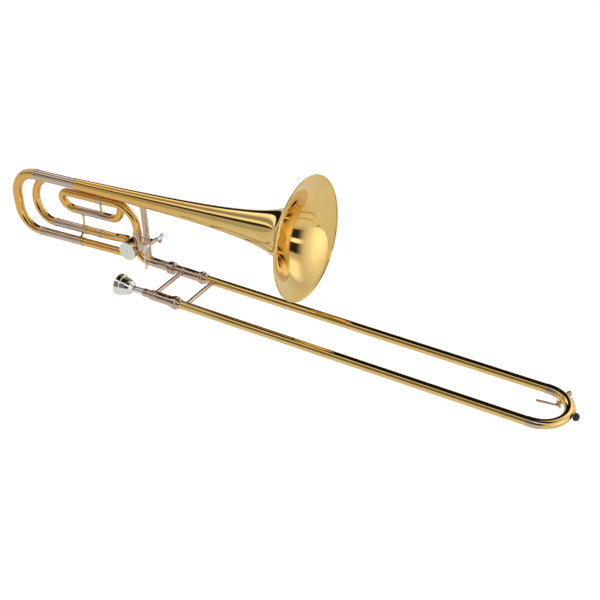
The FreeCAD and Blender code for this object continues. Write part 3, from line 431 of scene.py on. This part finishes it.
def metal(name, colour, darker, roughness, coat=0.0, deeper=None):
    """Polished metal: faint clouds in its colour, uneven polish and fine buffing marks.

    deeper is the colour towards the tuning slides' end of the horn, where it differs.
    """
    material, shader = new_material(name)
    nodes = material.node_tree.nodes
    links = material.node_tree.links
    clouds = noise(material, CLOUD_SCALE, 5)
    surface = ramp(material, clouds, [(0.32, darker), (0.62, colour)])
    if deeper:
        place = nodes.new("ShaderNodeTexCoord")
        split = nodes.new("ShaderNodeSeparateXYZ")
        links.new(place.outputs["Object"], split.inputs["Vector"])
        share = nodes.new("ShaderNodeMapRange")
        share.interpolation_type = "SMOOTHSTEP"
        share.inputs["From Min"].default_value = DEEPER_X[0]
        share.inputs["From Max"].default_value = DEEPER_X[1]
        links.new(split.outputs["X"], share.inputs["Value"])
        mix = nodes.new("ShaderNodeMix")
        mix.data_type = "RGBA"
        links.new(share.outputs["Result"], mix.inputs["Factor"])
        mix.inputs["A"].default_value = (*deeper, 1)
        links.new(surface, mix.inputs["B"])
        surface = mix.outputs["Result"]
    links.new(surface, shader.inputs["Base Color"])
    shader.inputs["Metallic"].default_value = 1.0
    polish = noise(material, POLISH_SCALE, 6)
    links.new(span(material, polish, roughness * 0.75, roughness * 1.3), shader.inputs["Roughness"])
    marks = noise(material, MARK_SCALE, 3, MARK_STRETCH)
    links.new(bump(material, marks, 0.00002, 0.035), shader.inputs["Normal"])
    shader.inputs["Coat Weight"].default_value = coat
    shader.inputs["Coat Roughness"].default_value = 0.03
    return material


def rubber(name):
    material, shader = new_material(name)
    links = material.node_tree.links
    clouds = noise(material, 90, 4)
    links.new(
        ramp(material, clouds, [(0.3, (0.008, 0.008, 0.009)), (0.7, (0.022, 0.021, 0.020))]),
        shader.inputs["Base Color"],
    )
    links.new(span(material, clouds, 0.42, 0.6), shader.inputs["Roughness"])
    grain = noise(material, 2400, 4)
    links.new(bump(material, grain, 0.00008, 0.3), shader.inputs["Normal"])
    return material


def cork(name):
    material, shader = new_material(name)
    links = material.node_tree.links
    grain = noise(material, 1500, 5)
    links.new(
        ramp(
            material,
            grain,
            [(0.3, (0.12, 0.06, 0.025)), (0.48, (0.42, 0.25, 0.12)), (0.7, (0.58, 0.38, 0.2))],
        ),
        shader.inputs["Base Color"],
    )
    links.new(span(material, grain, 0.8, 0.95), shader.inputs["Roughness"])
    links.new(bump(material, grain, 0.0002, 0.5), shader.inputs["Normal"])
    return material


MATERIALS = {
    "yellow_brass": metal(
        "lacquered_brass",
        (0.84, 0.59, 0.21),
        (0.80, 0.54, 0.18),
        0.045,
        coat=0.12,
        deeper=(0.81, 0.48, 0.13),
    ),
    "nickel_silver": metal("nickel_silver", (0.65, 0.50, 0.39), (0.58, 0.43, 0.33), 0.06, coat=0.1),
    "chromed_nickel": metal("chromed_nickel", (0.82, 0.81, 0.75), (0.76, 0.75, 0.69), 0.05),
    "silver_plate": metal("silver_plate", (0.88, 0.87, 0.82), (0.80, 0.79, 0.74), 0.05),
    "steel": metal("bright_steel", (0.62, 0.62, 0.63), (0.52, 0.52, 0.53), 0.16),
    "rubber": rubber("black_rubber"),
    "cork": cork("natural_cork"),
}


# ---- hand slide ----

def near_side(place):
    return place.y < 0


def far_side(place):
    return place.y > 0


def inner_tubes():
    for node in ("mouthpiece_side_inner_tube", "bell_side_inner_tube"):
        stand_for(node, sleeve(Run(node), BORE_R))
    shapes = []
    for keep in (near_side, far_side):
        run = Run("inner_slide_stockings", keep)
        shapes.append(sleeve(run, run.radius - 0.14 * MM, 0.1 * MM))
    stand_for("inner_slide_stockings", joined(shapes))


def outer_tubes():
    for node in ("mouthpiece_side_outer_tube", "bell_side_outer_tube"):
        run = Run(node)
        stand_for(node, sleeve(run, run.radius - 0.3 * MM))


def cork_barrels():
    """The nickel barrels at the inner slide's back end, with turned lines."""
    for node, tube in (
        ("mouthpiece_side_cork_barrel", "mouthpiece_side_inner_tube"),
        ("bell_side_cork_barrel", "bell_side_inner_tube"),
    ):
        run = Run(node)
        inner = Run(tube).radius
        back = run.start + 7.6 * MM
        profile = [(run.start, inner), (run.start, run.radius)]
        for groove in (3.0, 4.6, 32.0):
            at = run.start + groove * MM
            profile += [
                (at, run.radius),
                (at + 0.2 * MM, run.radius - 0.25 * MM),
                (at + 0.5 * MM, run.radius - 0.25 * MM),
                (at + 0.7 * MM, run.radius),
            ]
        profile += [
            (run.end, run.radius),
            (run.end, BARREL_BORE_R),
            (back, BARREL_BORE_R),
            (back, inner),
        ]
        stand_for(node, lathe(soften(profile, 0.3 * MM), run.point(0), ALONG))


def barrel_ring():
    """The stepped ring at the end of the barrel on the bell's side."""
    run = Run("bell_side_barrel_ring")
    barrel = Run("bell_side_cork_barrel")
    collar = barrel.radius + 1.1 * MM
    step = barrel.end - 0.8 * MM
    profile = [
        (run.start, barrel.radius + 0.01 * MM),
        (run.start, collar),
        (step, collar),
        (step + 0.9 * MM, run.radius),
        (run.end - 1.2 * MM, run.radius),
        (run.end, run.radius - 1.4 * MM),
        (run.end, BARREL_BORE_R),
        (barrel.end + 0.02 * MM, BARREL_BORE_R),
        (barrel.end + 0.02 * MM, barrel.radius + 0.01 * MM),
    ]
    stand_for("bell_side_barrel_ring", lathe(soften(profile, 0.4 * MM), run.point(0), ALONG))


def brace(node, reach):
    """A plain rod between the slide tubes, flared into a saddled foot at each end."""
    low, high = extent(node)
    x = (low.x + high.x) / 2
    foot = (high.x - low.x) / 2 - 0.1 * MM
    rod = 4.0 * MM
    flare = 1.0 * MM
    half_gap = Run("bell_side_inner_tube").y
    end = half_gap - reach
    half = [
        (0.0, rod),
        (end - 2.4 * MM, rod),
        (end - flare, rod + 0.5 * MM),
        (end, foot),
    ]
    profile = [(0.0 - along, radius) for along, radius in reversed(half)] + half[1:]
    profile = [(-end - 0.01 * MM, 0.0)] + profile + [(end + 0.01 * MM, 0.0)]
    vertices, faces = lathe(soften(profile, 0.5 * MM), Vector((x, 0, 0)), SIDE, hollow=False)
    # the foot follows the round tube that it is soldered to
    for vertex in vertices:
        if abs(vertex.y) > end - flare:
            side = 1 if vertex.y > 0 else -1
            saddle = half_gap - math.sqrt(max(reach ** 2 - vertex.z ** 2, 0.0))
            share = (abs(vertex.y) - (end - flare)) / flare
            vertex.y = side * (abs(vertex.y) + (saddle - end) * min(share, 1.0))
    stand_for(node, (vertices, faces))


def receiver():
    """The mouthpiece receiver, with a ring at its mouth and a flange at the barrel."""
    run = Run("mouthpiece_receiver")
    bore = 6.2 * MM
    body = run.radius - 0.8 * MM
    profile = [
        (run.start, 6.45 * MM),
        (run.start, body),
        (run.start + 3.0 * MM, body),
        (run.start + 3.4 * MM, body - 0.35 * MM),
        (run.end - 3.6 * MM, body - 0.35 * MM),
        (run.end - 3.0 * MM, run.radius),
        (run.end, run.radius),
        (run.end, bore),
    ]
    stand_for("mouthpiece_receiver", lathe(soften(profile, 0.4 * MM), run.point(0), ALONG))


def bow_arc(start_deg, end_deg, step_deg=3):
    """Samples of the slide bow's half circle; 0 degrees is its tip, 90 the bell side."""
    centre_x = Run("bell_side_outer_tube").end
    radius = Run("bell_side_outer_tube").y
    steps = max(2, round(abs(end_deg - start_deg) / step_deg))
    sign = 1 if end_deg > start_deg else -1
    samples = []
    for step in range(steps + 1):
        angle = math.radians(start_deg + (end_deg - start_deg) * step / steps)
        place = Vector((centre_x + radius * math.cos(angle), radius * math.sin(angle), 0))
        heading = Vector((-math.sin(angle), math.cos(angle), 0)) * sign
        samples.append((place, heading))
    return samples


def slide_bow():
    low, high = extent("slide_bow")
    radius = (high.z - low.z) / 2
    stand_for("slide_bow", pipe(bow_arc(-90, 90), radius, radius - 0.8 * MM))


def bow_ferrules():
    """Bright sleeves over the bow's seams, a little narrower at both ends."""
    low, high = extent("bow_ferrules")
    radius = (high.z - low.z) / 2
    tube = Run("bell_side_outer_tube")
    arc_length = tube.y * math.radians(FERRULE_ARC_DEG)
    straight_length = tube.end - low.x
    length = straight_length + arc_length
    shapes = []
    for side in (-1, 1):
        samples = bow_arc(side * (90 - FERRULE_ARC_DEG), side * 90, 2)
        start = Vector((low.x, side * tube.y, 0))
        heading = Vector((-1, 0, 0))
        steps = 6
        for step in range(1, steps + 1):
            samples.append((Vector((tube.end, side * tube.y, 0)).lerp(start, step / steps), heading))

        def outside(distance):
            from_end = min(distance, length - distance)
            return radius if from_end > 0.9 * MM else radius - 0.10 * MM

        shapes.append(pipe(samples, outside, tube.radius + 0.22 * MM))
    stand_for("bow_ferrules", joined(shapes))


def rubber_bumper():
    low, high = extent("rubber_bumper")
    radius = (high.z - low.z) / 2
    base = low.x
    profile = [
        (base, 0.0),
        (base, radius - 2.0 * MM),
        (base + 1.4 * MM, radius),
        (base + 5.2 * MM, radius),
        (base + 8.2 * MM, radius - 1.8 * MM),
        (high.x, radius - 4.2 * MM),
        (high.x, 0.0),
    ]
    shape = lathe(soften(profile, 0.9 * MM, 4), Vector((0, 0, 0)), ALONG, 64, hollow=False)
    stand_for("rubber_bumper", shape)


# ---- mouthpiece ----

def through(points, steps=4):
    """A smooth line through (along, radius) points."""
    points = [Vector(point) for point in points]
    result = []
    for index in range(len(points) - 1):
        first = points[index]
        last = points[index + 1]
        leaving = (last - points[max(index - 1, 0)]) / 2
        arriving = (points[min(index + 2, len(points) - 1)] - first) / 2
        for step in range(steps):
            t = step / steps
            place = first * (2 * t ** 3 - 3 * t ** 2 + 1) + leaving * (t ** 3 - 2 * t ** 2 + t)
            place += last * (3 * t ** 2 - 2 * t ** 3) + arriving * (t ** 3 - t ** 2)
            result.append(tuple(place))
    return result + [tuple(points[-1])]


def mouthpiece():
    """Rim, cup, throat and shank. The outline is in millimetres from the rim's face."""
    run = Run("mouthpiece")
    length = run.end - run.start
    rim = 19.6 * MM
    outside = through(
        [
            (12.8, 16.9), (17.0, 15.9), (22.0, 14.7), (26.0, 13.3), (29.0, 11.6), (31.6, 9.2),
            (33.6, 7.0), (36.0, 5.9), (41.0, 5.7),
        ]
    )
    rim_side = [(3.4, 19.6), (3.6, 19.6), (11.0, 18.65), (11.6, 18.4), (12.4, 17.1)]
    outside = rim_side + outside + [(55.5, 6.43)]
    inside = [
        (28.0, 3.4), (25.5, 3.7), (23.0, 4.9), (20.0, 6.9), (16.0, 9.3), (12.0, 11.1),
        (8.0, 12.2), (5.0, 12.7), (3.2, 12.9),
    ]
    crown = []
    steps = 12
    crown_height = 3.3
    crown_half_width = 3.4
    middle = 16.2
    for step in range(1, steps):
        angle = math.pi * step / steps
        along = crown_height - crown_height * math.sin(angle)
        crown.append((along, middle - crown_half_width * math.cos(angle)))
    shank_end = length / MM
    profile = outside + [(shank_end, 6.02), (shank_end, 4.9)] + inside + crown
    profile = [(along * MM, radius * MM) for along, radius in profile]
    profile = [(along, min(radius, rim)) for along, radius in profile]
    stand_for("mouthpiece", lathe(profile, run.point(run.start), ALONG, 128), 50)


# ---- bell ----

def flare_radius(s, rim):
    return rim * ((FLARE_SHIFT - s) / FLARE_SHIFT) ** -FLARE_POWER


def bell_shell(first_s, last_s, rim, stations, segments):
    """A length of the bell as a closed shell."""
    low = math.log(FLARE_SHIFT - last_s)
    high = math.log(FLARE_SHIFT - first_s)
    outer = []
    inner = []
    for index in range(stations):
        s = FLARE_SHIFT - math.exp(high + (low - high) * index / (stations - 1))
        radius = flare_radius(s, rim)
        slope = FLARE_POWER * radius / (FLARE_SHIFT - s)
        outer.append((s, radius))
        inner.append((s, radius - BELL_WALL * math.hypot(1, slope)))
    return lathe(outer + inner[::-1], RIM_CENTRE, BELL_AXIS, segments)


def bell():
    low, high = extent("bell_flare", bell=True)
    seam = low.x
    rim = (high.y - low.y) / 2
    stand_for("bell_flare", bell_shell(seam, 0.0, rim, 90, 256), 60)
    tail = extent("bell_stem", bell=True)[0].x
    stand_for("bell_stem", bell_shell(tail, seam, rim, 60, 128), 60)
    bead_low, bead_high = extent("bell_bead", bell=True)
    thick = (bead_high.y - bead_low.y) / 2 - rim
    centre_s = (bead_low.x + bead_high.x) / 2
    bead_r = (bead_high.x - bead_low.x) / 2
    ring_r = rim + thick - bead_r
    profile = []
    steps = 20
    for step in range(steps):
        angle = 2 * math.pi * step / steps
        profile.append((centre_s + bead_r * math.cos(angle), ring_r + bead_r * math.sin(angle)))
    stand_for("bell_bead", lathe(profile, RIM_CENTRE, BELL_AXIS, 256), 60)


# ---- bell section's main tubing ----

def high_place(place):
    return place.z > BETWEEN_LEGS_V


def low_place(place):
    return place.z < BETWEEN_LEGS_V


def leg_sleeve(run, bore):
    """An outer leg with a raised ring at its open end and a step at the other."""
    body = run.radius - 0.55 * MM
    profile = [
        (run.start, bore),
        (run.start, run.radius),
        (run.start + 5.0 * MM, run.radius),
        (run.start + 5.6 * MM, body),
        (run.end - 4.6 * MM, body),
        (run.end - 4.0 * MM, run.radius),
        (run.end, run.radius),
        (run.end, bore),
    ]
    return lathe(soften(profile, 0.35 * MM), run.point(0), run.axis())


def main_legs():
    inner = {}
    for name, keep in (("upper", high_place), ("lower", low_place)):
        inner[name] = Run("main_inner_legs", keep, True)
        node = name + "_outer_leg"
        run = Run(node, bell=True)
        stand_for(node, leg_sleeve(run, inner[name].radius + 0.05 * MM))
    stand_for(
        "main_inner_legs",
        joined([sleeve(leg, leg.radius - TUBE_WALL) for leg in inner.values()]),
    )


def main_bow():
    """The tuning bow, wider at its upper end."""
    upper = Run("upper_outer_leg", bell=True)
    lower = Run("lower_outer_leg", bell=True)
    low, high = extent("main_bow", bell=True)

    def at_lower_end(place):
        return place.z < lower.z and place.x > lower.start - 3 * MM

    wide = high.y
    narrow = Run("main_bow", at_lower_end, True).radius
    tip = low.x + (wide + narrow) / 2 + 0.4 * MM
    points = [
        bell_point(upper.start - 0.4 * MM, 0, upper.z),
        bell_point(tip, 0, upper.z),
        bell_point(tip, 0, lower.z),
        bell_point(lower.start - 0.4 * MM, 0, lower.z),
    ]
    samples = route(points, MAIN_BOW_CORNERS, 3)
    total = along_route(samples)[-1]

    def outside(distance):
        return wide + (narrow - wide) * distance / total

    def inside(distance):
        return outside(distance) - TUBE_WALL

    stand_for("main_bow", pipe(samples, outside, inside, 80))


def port_point(direction_deg, distance):
    angle = math.radians(direction_deg)
    return VALVE + BELL_AXIS * (math.cos(angle) * distance) + BELL_UP * (math.sin(angle) * distance)


def port_depth():
    """Distance from the valve's axis to the sunk end of a tube."""
    low, high = extent("valve_casing")
    return (high.x - low.x) / 2 - PORT_OVERLAP


def valve_tubes():
    """Main tubing into the valve and out of it to the gooseneck."""
    buried = port_depth()
    lower = Run("lower_outer_leg", bell=True)
    low, high = extent("valve_inlet_tube")
    radius = (high.y - low.y) / 2
    valve_v = in_bell_frame(VALVE).z
    reach = valve_v - lower.z
    points = [
        bell_point(lower.end, 0, lower.z),
        port_point(INLET_PORT_DEG, reach * math.sqrt(2)),
        port_point(INLET_PORT_DEG, buried),
    ]
    stand_for("valve_inlet_tube", pipe(route(points, [22 * MM]), radius, radius - TUBE_WALL))
    start = port_point(OUTLET_PORT_DEG, buried)
    heading = (port_point(OUTLET_PORT_DEG, 2 * buried) - start).normalized()
    corner = start + heading * (start.z / -heading.z)
    end_x = extent("gooseneck_elbow")[1].x
    points = [start, corner, Vector((end_x, corner.y, 0))]
    stand_for("gooseneck_elbow", pipe(route(points, [20 * MM]), radius, radius - TUBE_WALL))


def gooseneck():
    """The nickel tube under the bell brace and the socket for the slide's tenon."""
    run = Run("gooseneck")
    body = run.radius - 0.85 * MM
    elbow = 7.7 * MM
    socket_bottom = 7.7 * MM
    socket_mouth = 8.0 * MM
    socket_start = run.start + 45.0 * MM
    profile = [
        (run.start, elbow),
        (run.start, body + 0.7 * MM),
        (run.start + 3.4 * MM, body + 0.7 * MM),
        (run.start + 4.0 * MM, body),
        (run.end - 2.6 * MM, body),
        (run.end - 2.6 * MM, run.radius),
        (run.end, run.radius),
        (run.end, socket_mouth),
        (socket_start, socket_bottom),
        (socket_start, BORE_R),
        (run.start + 3.0 * MM, BORE_R),
        (run.start + 3.0 * MM, elbow),
    ]
    stand_for("gooseneck", lathe(soften(profile, 0.3 * MM), run.point(0), ALONG))


# ---- F attachment ----

def f_tubing():
    """The loop from the valve round to its tuning slide, and the tube back."""
    leg = Run("f_loop_leg", bell=True)
    radius = leg.radius
    upper = Run("f_outer_legs", high_place, True)
    lower = Run("f_outer_legs", low_place, True)
    low, high = extent("f_inlet_tube", bell=True)
    left_s = low.x
    top_v = high.z - radius
    tall_s = high.x - radius
    valve = in_bell_frame(VALVE)
    buried = port_depth()
    points = [
        port_point(LOOP_START_PORT_DEG, buried),
        bell_point(tall_s, 0, valve.z + tall_s - valve.x),
        bell_point(tall_s, 0, top_v),
        bell_point(left_s, 0, top_v),
    ]
    stand_for("f_inlet_tube", pipe(route(points, [10 * MM, TALL_BEND_R]), radius, radius - TUBE_WALL))

    half = math.hypot(leg.y, leg.z - top_v) / 2
    points = [
        bell_point(left_s, 0, top_v),
        bell_point(left_s - half, 0, top_v),
        bell_point(left_s - half, leg.y, leg.z),
        bell_point(leg.start, leg.y, leg.z),
    ]
    stand_for("f_left_bow", pipe(route(points, [half, half]), radius, radius - TUBE_WALL))
    stand_for("f_loop_leg", sleeve(leg, radius - TUBE_WALL))

    tip_s = extent("f_right_bow", bell=True)[1].x - radius
    points = [
        bell_point(leg.end, leg.y, leg.z),
        bell_point(tip_s, leg.y, leg.z),
        bell_point(tip_s, upper.y, upper.z),
        bell_point(upper.end, upper.y, upper.z),
    ]
    stand_for("f_right_bow", pipe(route(points, [20 * MM, 25 * MM]), radius, radius - TUBE_WALL))

    rise = 13.4 * MM
    corner_s = -425 * MM
    points = [
        bell_point(lower.end, lower.y, lower.z),
        bell_point(corner_s, lower.y, lower.z),
        bell_point(valve.x - rise, 0, valve.z + rise),
        port_point(LOOP_END_PORT_DEG, buried),
    ]
    stand_for("f_return_tube", pipe(route(points, [70 * MM, 9 * MM]), radius, radius - TUBE_WALL))


def f_slide():
    """The F tuning slide: two outer legs, two inner legs and the bow that joins them."""
    inner = [Run("f_inner_legs", keep, True) for keep in (high_place, low_place)]
    outer = [Run("f_outer_legs", keep, True) for keep in (high_place, low_place)]
    shapes = [leg_sleeve(run, inner[0].radius + 0.05 * MM) for run in outer]
    stand_for("f_outer_legs", joined(shapes))
    stand_for("f_inner_legs", joined([sleeve(leg, leg.radius - TUBE_WALL) for leg in inner]))
    start = inner[0].start
    half = math.hypot(inner[0].y - inner[1].y, inner[0].z - inner[1].z) / 2
    radius = inner[0].radius + 0.3 * MM
    points = [
        bell_point(start, inner[0].y, inner[0].z),
        bell_point(start - half, inner[0].y, inner[0].z),
        bell_point(start - half, inner[1].y, inner[1].z),
        bell_point(start, inner[1].y, inner[1].z),
    ]
    stand_for("f_bow", pipe(route(points, [half, half], 3), radius, radius - TUBE_WALL))


# ---- everything that keeps its CAD mesh ----

def finish_cad_nodes():
    """The CAD nodes that still show get the same materials."""
    for node, piece in NODES.items():
        material = MATERIALS[SLOT_OF[node]]
        if not piece.material_slots:
            piece.data.materials.append(material)
        for slot in piece.material_slots:
            slot.material = material


# ---- stage, lights and camera ----

def floor():
    """A pale floor. It is darker in the metal's reflections, where the studio is dim."""
    size = 9.0
    front = 2.4
    height = -0.32
    corners = [
        (-size, -size, height),
        (front, -size, height),
        (front, size, height),
        (-size, size, height),
    ]
    mesh = bpy.data.meshes.new("floor")
    mesh.from_pydata(corners, [], [(0, 1, 2, 3)])
    piece = bpy.data.objects.new("floor", mesh)
    bpy.context.collection.objects.link(piece)
    material, shader = new_material("pale_floor")
    links = material.node_tree.links
    grain = noise(material, 6, 3)
    pale = ramp(material, grain, [(0.3, (0.93, 0.93, 0.93)), (0.7, (0.95, 0.95, 0.95))])
    in_metal = ramp(material, grain, [(0.3, (0.64, 0.64, 0.63)), (0.7, (0.67, 0.67, 0.66))])
    path = material.node_tree.nodes.new("ShaderNodeLightPath")
    mix = material.node_tree.nodes.new("ShaderNodeMix")
    mix.data_type = "RGBA"
    links.new(path.outputs["Is Glossy Ray"], mix.inputs["Factor"])
    links.new(pale, mix.inputs["A"])
    links.new(in_metal, mix.inputs["B"])
    links.new(mix.outputs["Result"], shader.inputs["Base Color"])
    shader.inputs["Roughness"].default_value = 0.9
    shader.inputs["Specular IOR Level"].default_value = 0.1
    mesh.materials.append(material)


CAMERA_PLACE = Vector((1.03008, -1.35476, 1.07012))
CAMERA_FORWARD = Vector((-0.40862, 0.73001, -0.54782)).normalized()
CAMERA_RIGHT = Vector((0.86991, 0.49315, 0.00829)).normalized()
CAMERA_LENS = 66.485


# The studio as the metal reflects it. A ray's turn goes from 0 at the far horizon over 0.5
# overhead to 1 at the horizon behind the camera. The lists below give grey levels by turn,
# for rays that point left, between and right, and by x for rays that point to the front.
# SCREEN_TOP is the turn where the black screen ends, by x.
STUDIO_STRENGTH = 1.3
PLAIN_STRENGTH = 1.05
SCREEN_COLOUR = (0.010, 0.008, 0.006, 1)
SCREEN_FAR_EDGE = (0.0, 0.012)      # in turn, like the next one
SCREEN_TOP_SOFTNESS = 0.02
SCREEN_SIDE_EDGE = (-0.04, 0.06)    # in x, like the rest
LEFT_TO_MIDDLE = (-0.58, -0.53)
MIDDLE_TO_RIGHT = (-0.04, 0.08)
RIGHT_TO_FRONT = (0.46, 0.76)
SCREEN_TOP = [
    (-1, 0.18), (-0.64, 0.20), (-0.57, 0.34), (-0.555, 0.38), (-0.53, 0.54), (-0.4, 0.60),
    (-0.2, 0.64), (1, 0.64),
]
LEFT_LEVELS = [
    (-1, 0.5), (0.0, 0.5), (0.22, 1.1), (0.32, 0.95), (0.38, 0.42), (0.46, 0.22), (0.54, 0.34),
    (0.60, 0.95), (0.65, 0.95), (0.69, 0.03), (0.78, 0.03), (0.82, 0.42), (1, 0.32),
]
MIDDLE_LEVELS = [
    (-1, 0.5), (0.0, 0.5), (0.3, 0.40), (0.6, 0.42), (0.64, 1.0), (0.68, 1.0), (0.71, 0.14),
    (0.95, 0.14), (0.98, 0.08), (1, 0.08),
]
RIGHT_LEVELS = [
    (-1, 0.5), (0.0, 0.5), (0.06, 1.0), (0.24, 1.0), (0.34, 0.55), (0.42, 0.48), (0.46, 0.02),
    (0.66, 0.02), (0.685, 1.2), (0.755, 1.2),
    (0.78, 0.02), (0.97, 0.02), (0.99, 0.3), (1, 0.3),
]
FRONT_LEVELS = [(-1, 0.5), (0.6, 0.5), (0.75, 0.62), (0.88, 0.78), (0.96, 1.0), (1, 1.15)]


def camera():
    data = bpy.data.cameras.new("camera")
    data.lens = CAMERA_LENS
    data.sensor_width = 36.0
    data.dof.use_dof = False
    data.clip_end = 50
    rig = bpy.data.objects.new("camera", data)
    bpy.context.collection.objects.link(rig)
    up = CAMERA_RIGHT.cross(CAMERA_FORWARD)
    turn = Matrix((CAMERA_RIGHT, up, -CAMERA_FORWARD)).transposed()
    rig.matrix_world = Matrix.Translation(CAMERA_PLACE) @ turn.to_4x4()
    bpy.context.scene.camera = rig


def world():
    """A white studio whose reflections show a black screen beyond and above the horn."""
    scene_world = bpy.data.worlds.new("studio")
    bpy.context.scene.world = scene_world
    scene_world.use_nodes = True
    tree = scene_world.node_tree
    nodes = tree.nodes
    links = tree.links
    nodes.clear()
    output = nodes.new("ShaderNodeOutputWorld")
    place = nodes.new("ShaderNodeTexCoord")
    split = nodes.new("ShaderNodeSeparateXYZ")
    links.new(place.outputs["Generated"], split.inputs["Vector"])

    def computed(operation, first, second):
        """A maths node over two values, each a number or another node's output."""
        node = nodes.new("ShaderNodeMath")
        node.operation = operation
        for index, value in enumerate((first, second)):
            if isinstance(value, (int, float)):
                node.inputs[index].default_value = value
            else:
                links.new(value, node.inputs[index])
        return node.outputs[0]

    def stretch(source, low, high):
        """0 below low and 1 above high, with a smooth step between."""
        node = nodes.new("ShaderNodeMapRange")
        node.interpolation_type = "SMOOTHSTEP"
        node.inputs["From Min"].default_value = low
        node.inputs["From Max"].default_value = high
        links.new(source, node.inputs["Value"])
        return node.outputs["Result"]

    def levels(source, stops):
        """Grey levels along a value that runs from -1 to 1."""
        shift = nodes.new("ShaderNodeMapRange")
        shift.inputs["From Min"].default_value = -1
        shift.inputs["From Max"].default_value = 1
        links.new(source, shift.inputs["Value"])
        ramp_node = nodes.new("ShaderNodeValToRGB")
        fill_ramp(ramp_node, [((at + 1) / 2, (level, level, level)) for at, level in stops])
        links.new(shift.outputs["Result"], ramp_node.inputs["Fac"])
        return ramp_node.outputs["Color"]

    def mixed(factor, first, second):
        node = nodes.new("ShaderNodeMix")
        node.data_type = "RGBA"
        links.new(factor, node.inputs["Factor"])
        links.new(first, node.inputs["A"])
        links.new(second, node.inputs["B"])
        return node.outputs["Result"]

    turn = computed("DIVIDE", computed("ARCTAN2", split.outputs["Z"], split.outputs["Y"]), math.pi)
    x = split.outputs["X"]
    limit = levels(x, SCREEN_TOP)
    over = stretch(computed("SUBTRACT", turn, limit), -SCREEN_TOP_SOFTNESS, SCREEN_TOP_SOFTNESS)
    below = computed("SUBTRACT", 1.0, over)
    screen = computed("MULTIPLY", below, stretch(turn, *SCREEN_FAR_EDGE))
    beside = computed("SUBTRACT", 1.0, stretch(x, *SCREEN_SIDE_EDGE))
    screen = computed("MULTIPLY", screen, beside)
    left = levels(turn, LEFT_LEVELS)
    middle = levels(turn, MIDDLE_LEVELS)
    right = levels(turn, RIGHT_LEVELS)
    open_room = mixed(stretch(x, *LEFT_TO_MIDDLE), left, middle)
    open_room = mixed(stretch(x, *MIDDLE_TO_RIGHT), open_room, right)
    open_room = mixed(stretch(x, *RIGHT_TO_FRONT), open_room, levels(x, FRONT_LEVELS))
    dark = nodes.new("ShaderNodeRGB")
    dark.outputs[0].default_value = SCREEN_COLOUR
    seen = mixed(screen, open_room, dark.outputs[0])
    studio = nodes.new("ShaderNodeBackground")
    links.new(seen, studio.inputs["Color"])
    studio.inputs["Strength"].default_value = STUDIO_STRENGTH
    plain = nodes.new("ShaderNodeBackground")
    plain.inputs["Color"].default_value = (1, 1, 1, 1)
    plain.inputs["Strength"].default_value = PLAIN_STRENGTH
    path = nodes.new("ShaderNodeLightPath")
    choose = nodes.new("ShaderNodeMixShader")
    links.new(path.outputs["Is Glossy Ray"], choose.inputs["Fac"])
    links.new(plain.outputs["Background"], choose.inputs[1])
    links.new(studio.outputs["Background"], choose.inputs[2])
    links.new(choose.outputs["Shader"], output.inputs["Surface"])


def area_light(name, place, target, width, height, power):
    """A soft light that doesn't show in the metal."""
    data = bpy.data.lights.new(name, "AREA")
    data.shape = "RECTANGLE"
    data.size = width
    data.size_y = height
    data.energy = power
    light = bpy.data.objects.new(name, data)
    bpy.context.collection.objects.link(light)
    light.location = place
    light.visible_glossy = False
    light.rotation_mode = "QUATERNION"
    light.rotation_quaternion = (Vector(target) - Vector(place)).to_track_quat("-Z", "Y")


def lights():
    centre = Vector(cad_box[0]).lerp(Vector(cad_box[1]), 0.5)
    overhead = centre + Vector((0.1, 0.0, 2.2))
    camera_side = centre + Vector((1.6, -1.8, 1.2))
    area_light("overhead", overhead, centre, width=2.6, height=1.6, power=12)
    area_light("camera_side", camera_side, centre, width=1.2, height=0.9, power=5)


camera()
world()
lights()
floor()
inner_tubes()
outer_tubes()
cork_barrels()
barrel_ring()
brace("hand_brace", Run("bell_side_cork_barrel").radius)
brace("outer_brace", Run("bell_side_outer_tube").radius)
receiver()
slide_bow()
bow_ferrules()
rubber_bumper()
mouthpiece()
bell()
main_legs()
main_bow()
valve_tubes()
gooseneck()
f_tubing()
f_slide()
finish_cad_nodes()

scene = bpy.context.scene
scene.view_settings.view_transform = "Standard"
scene.view_settings.look = "None"
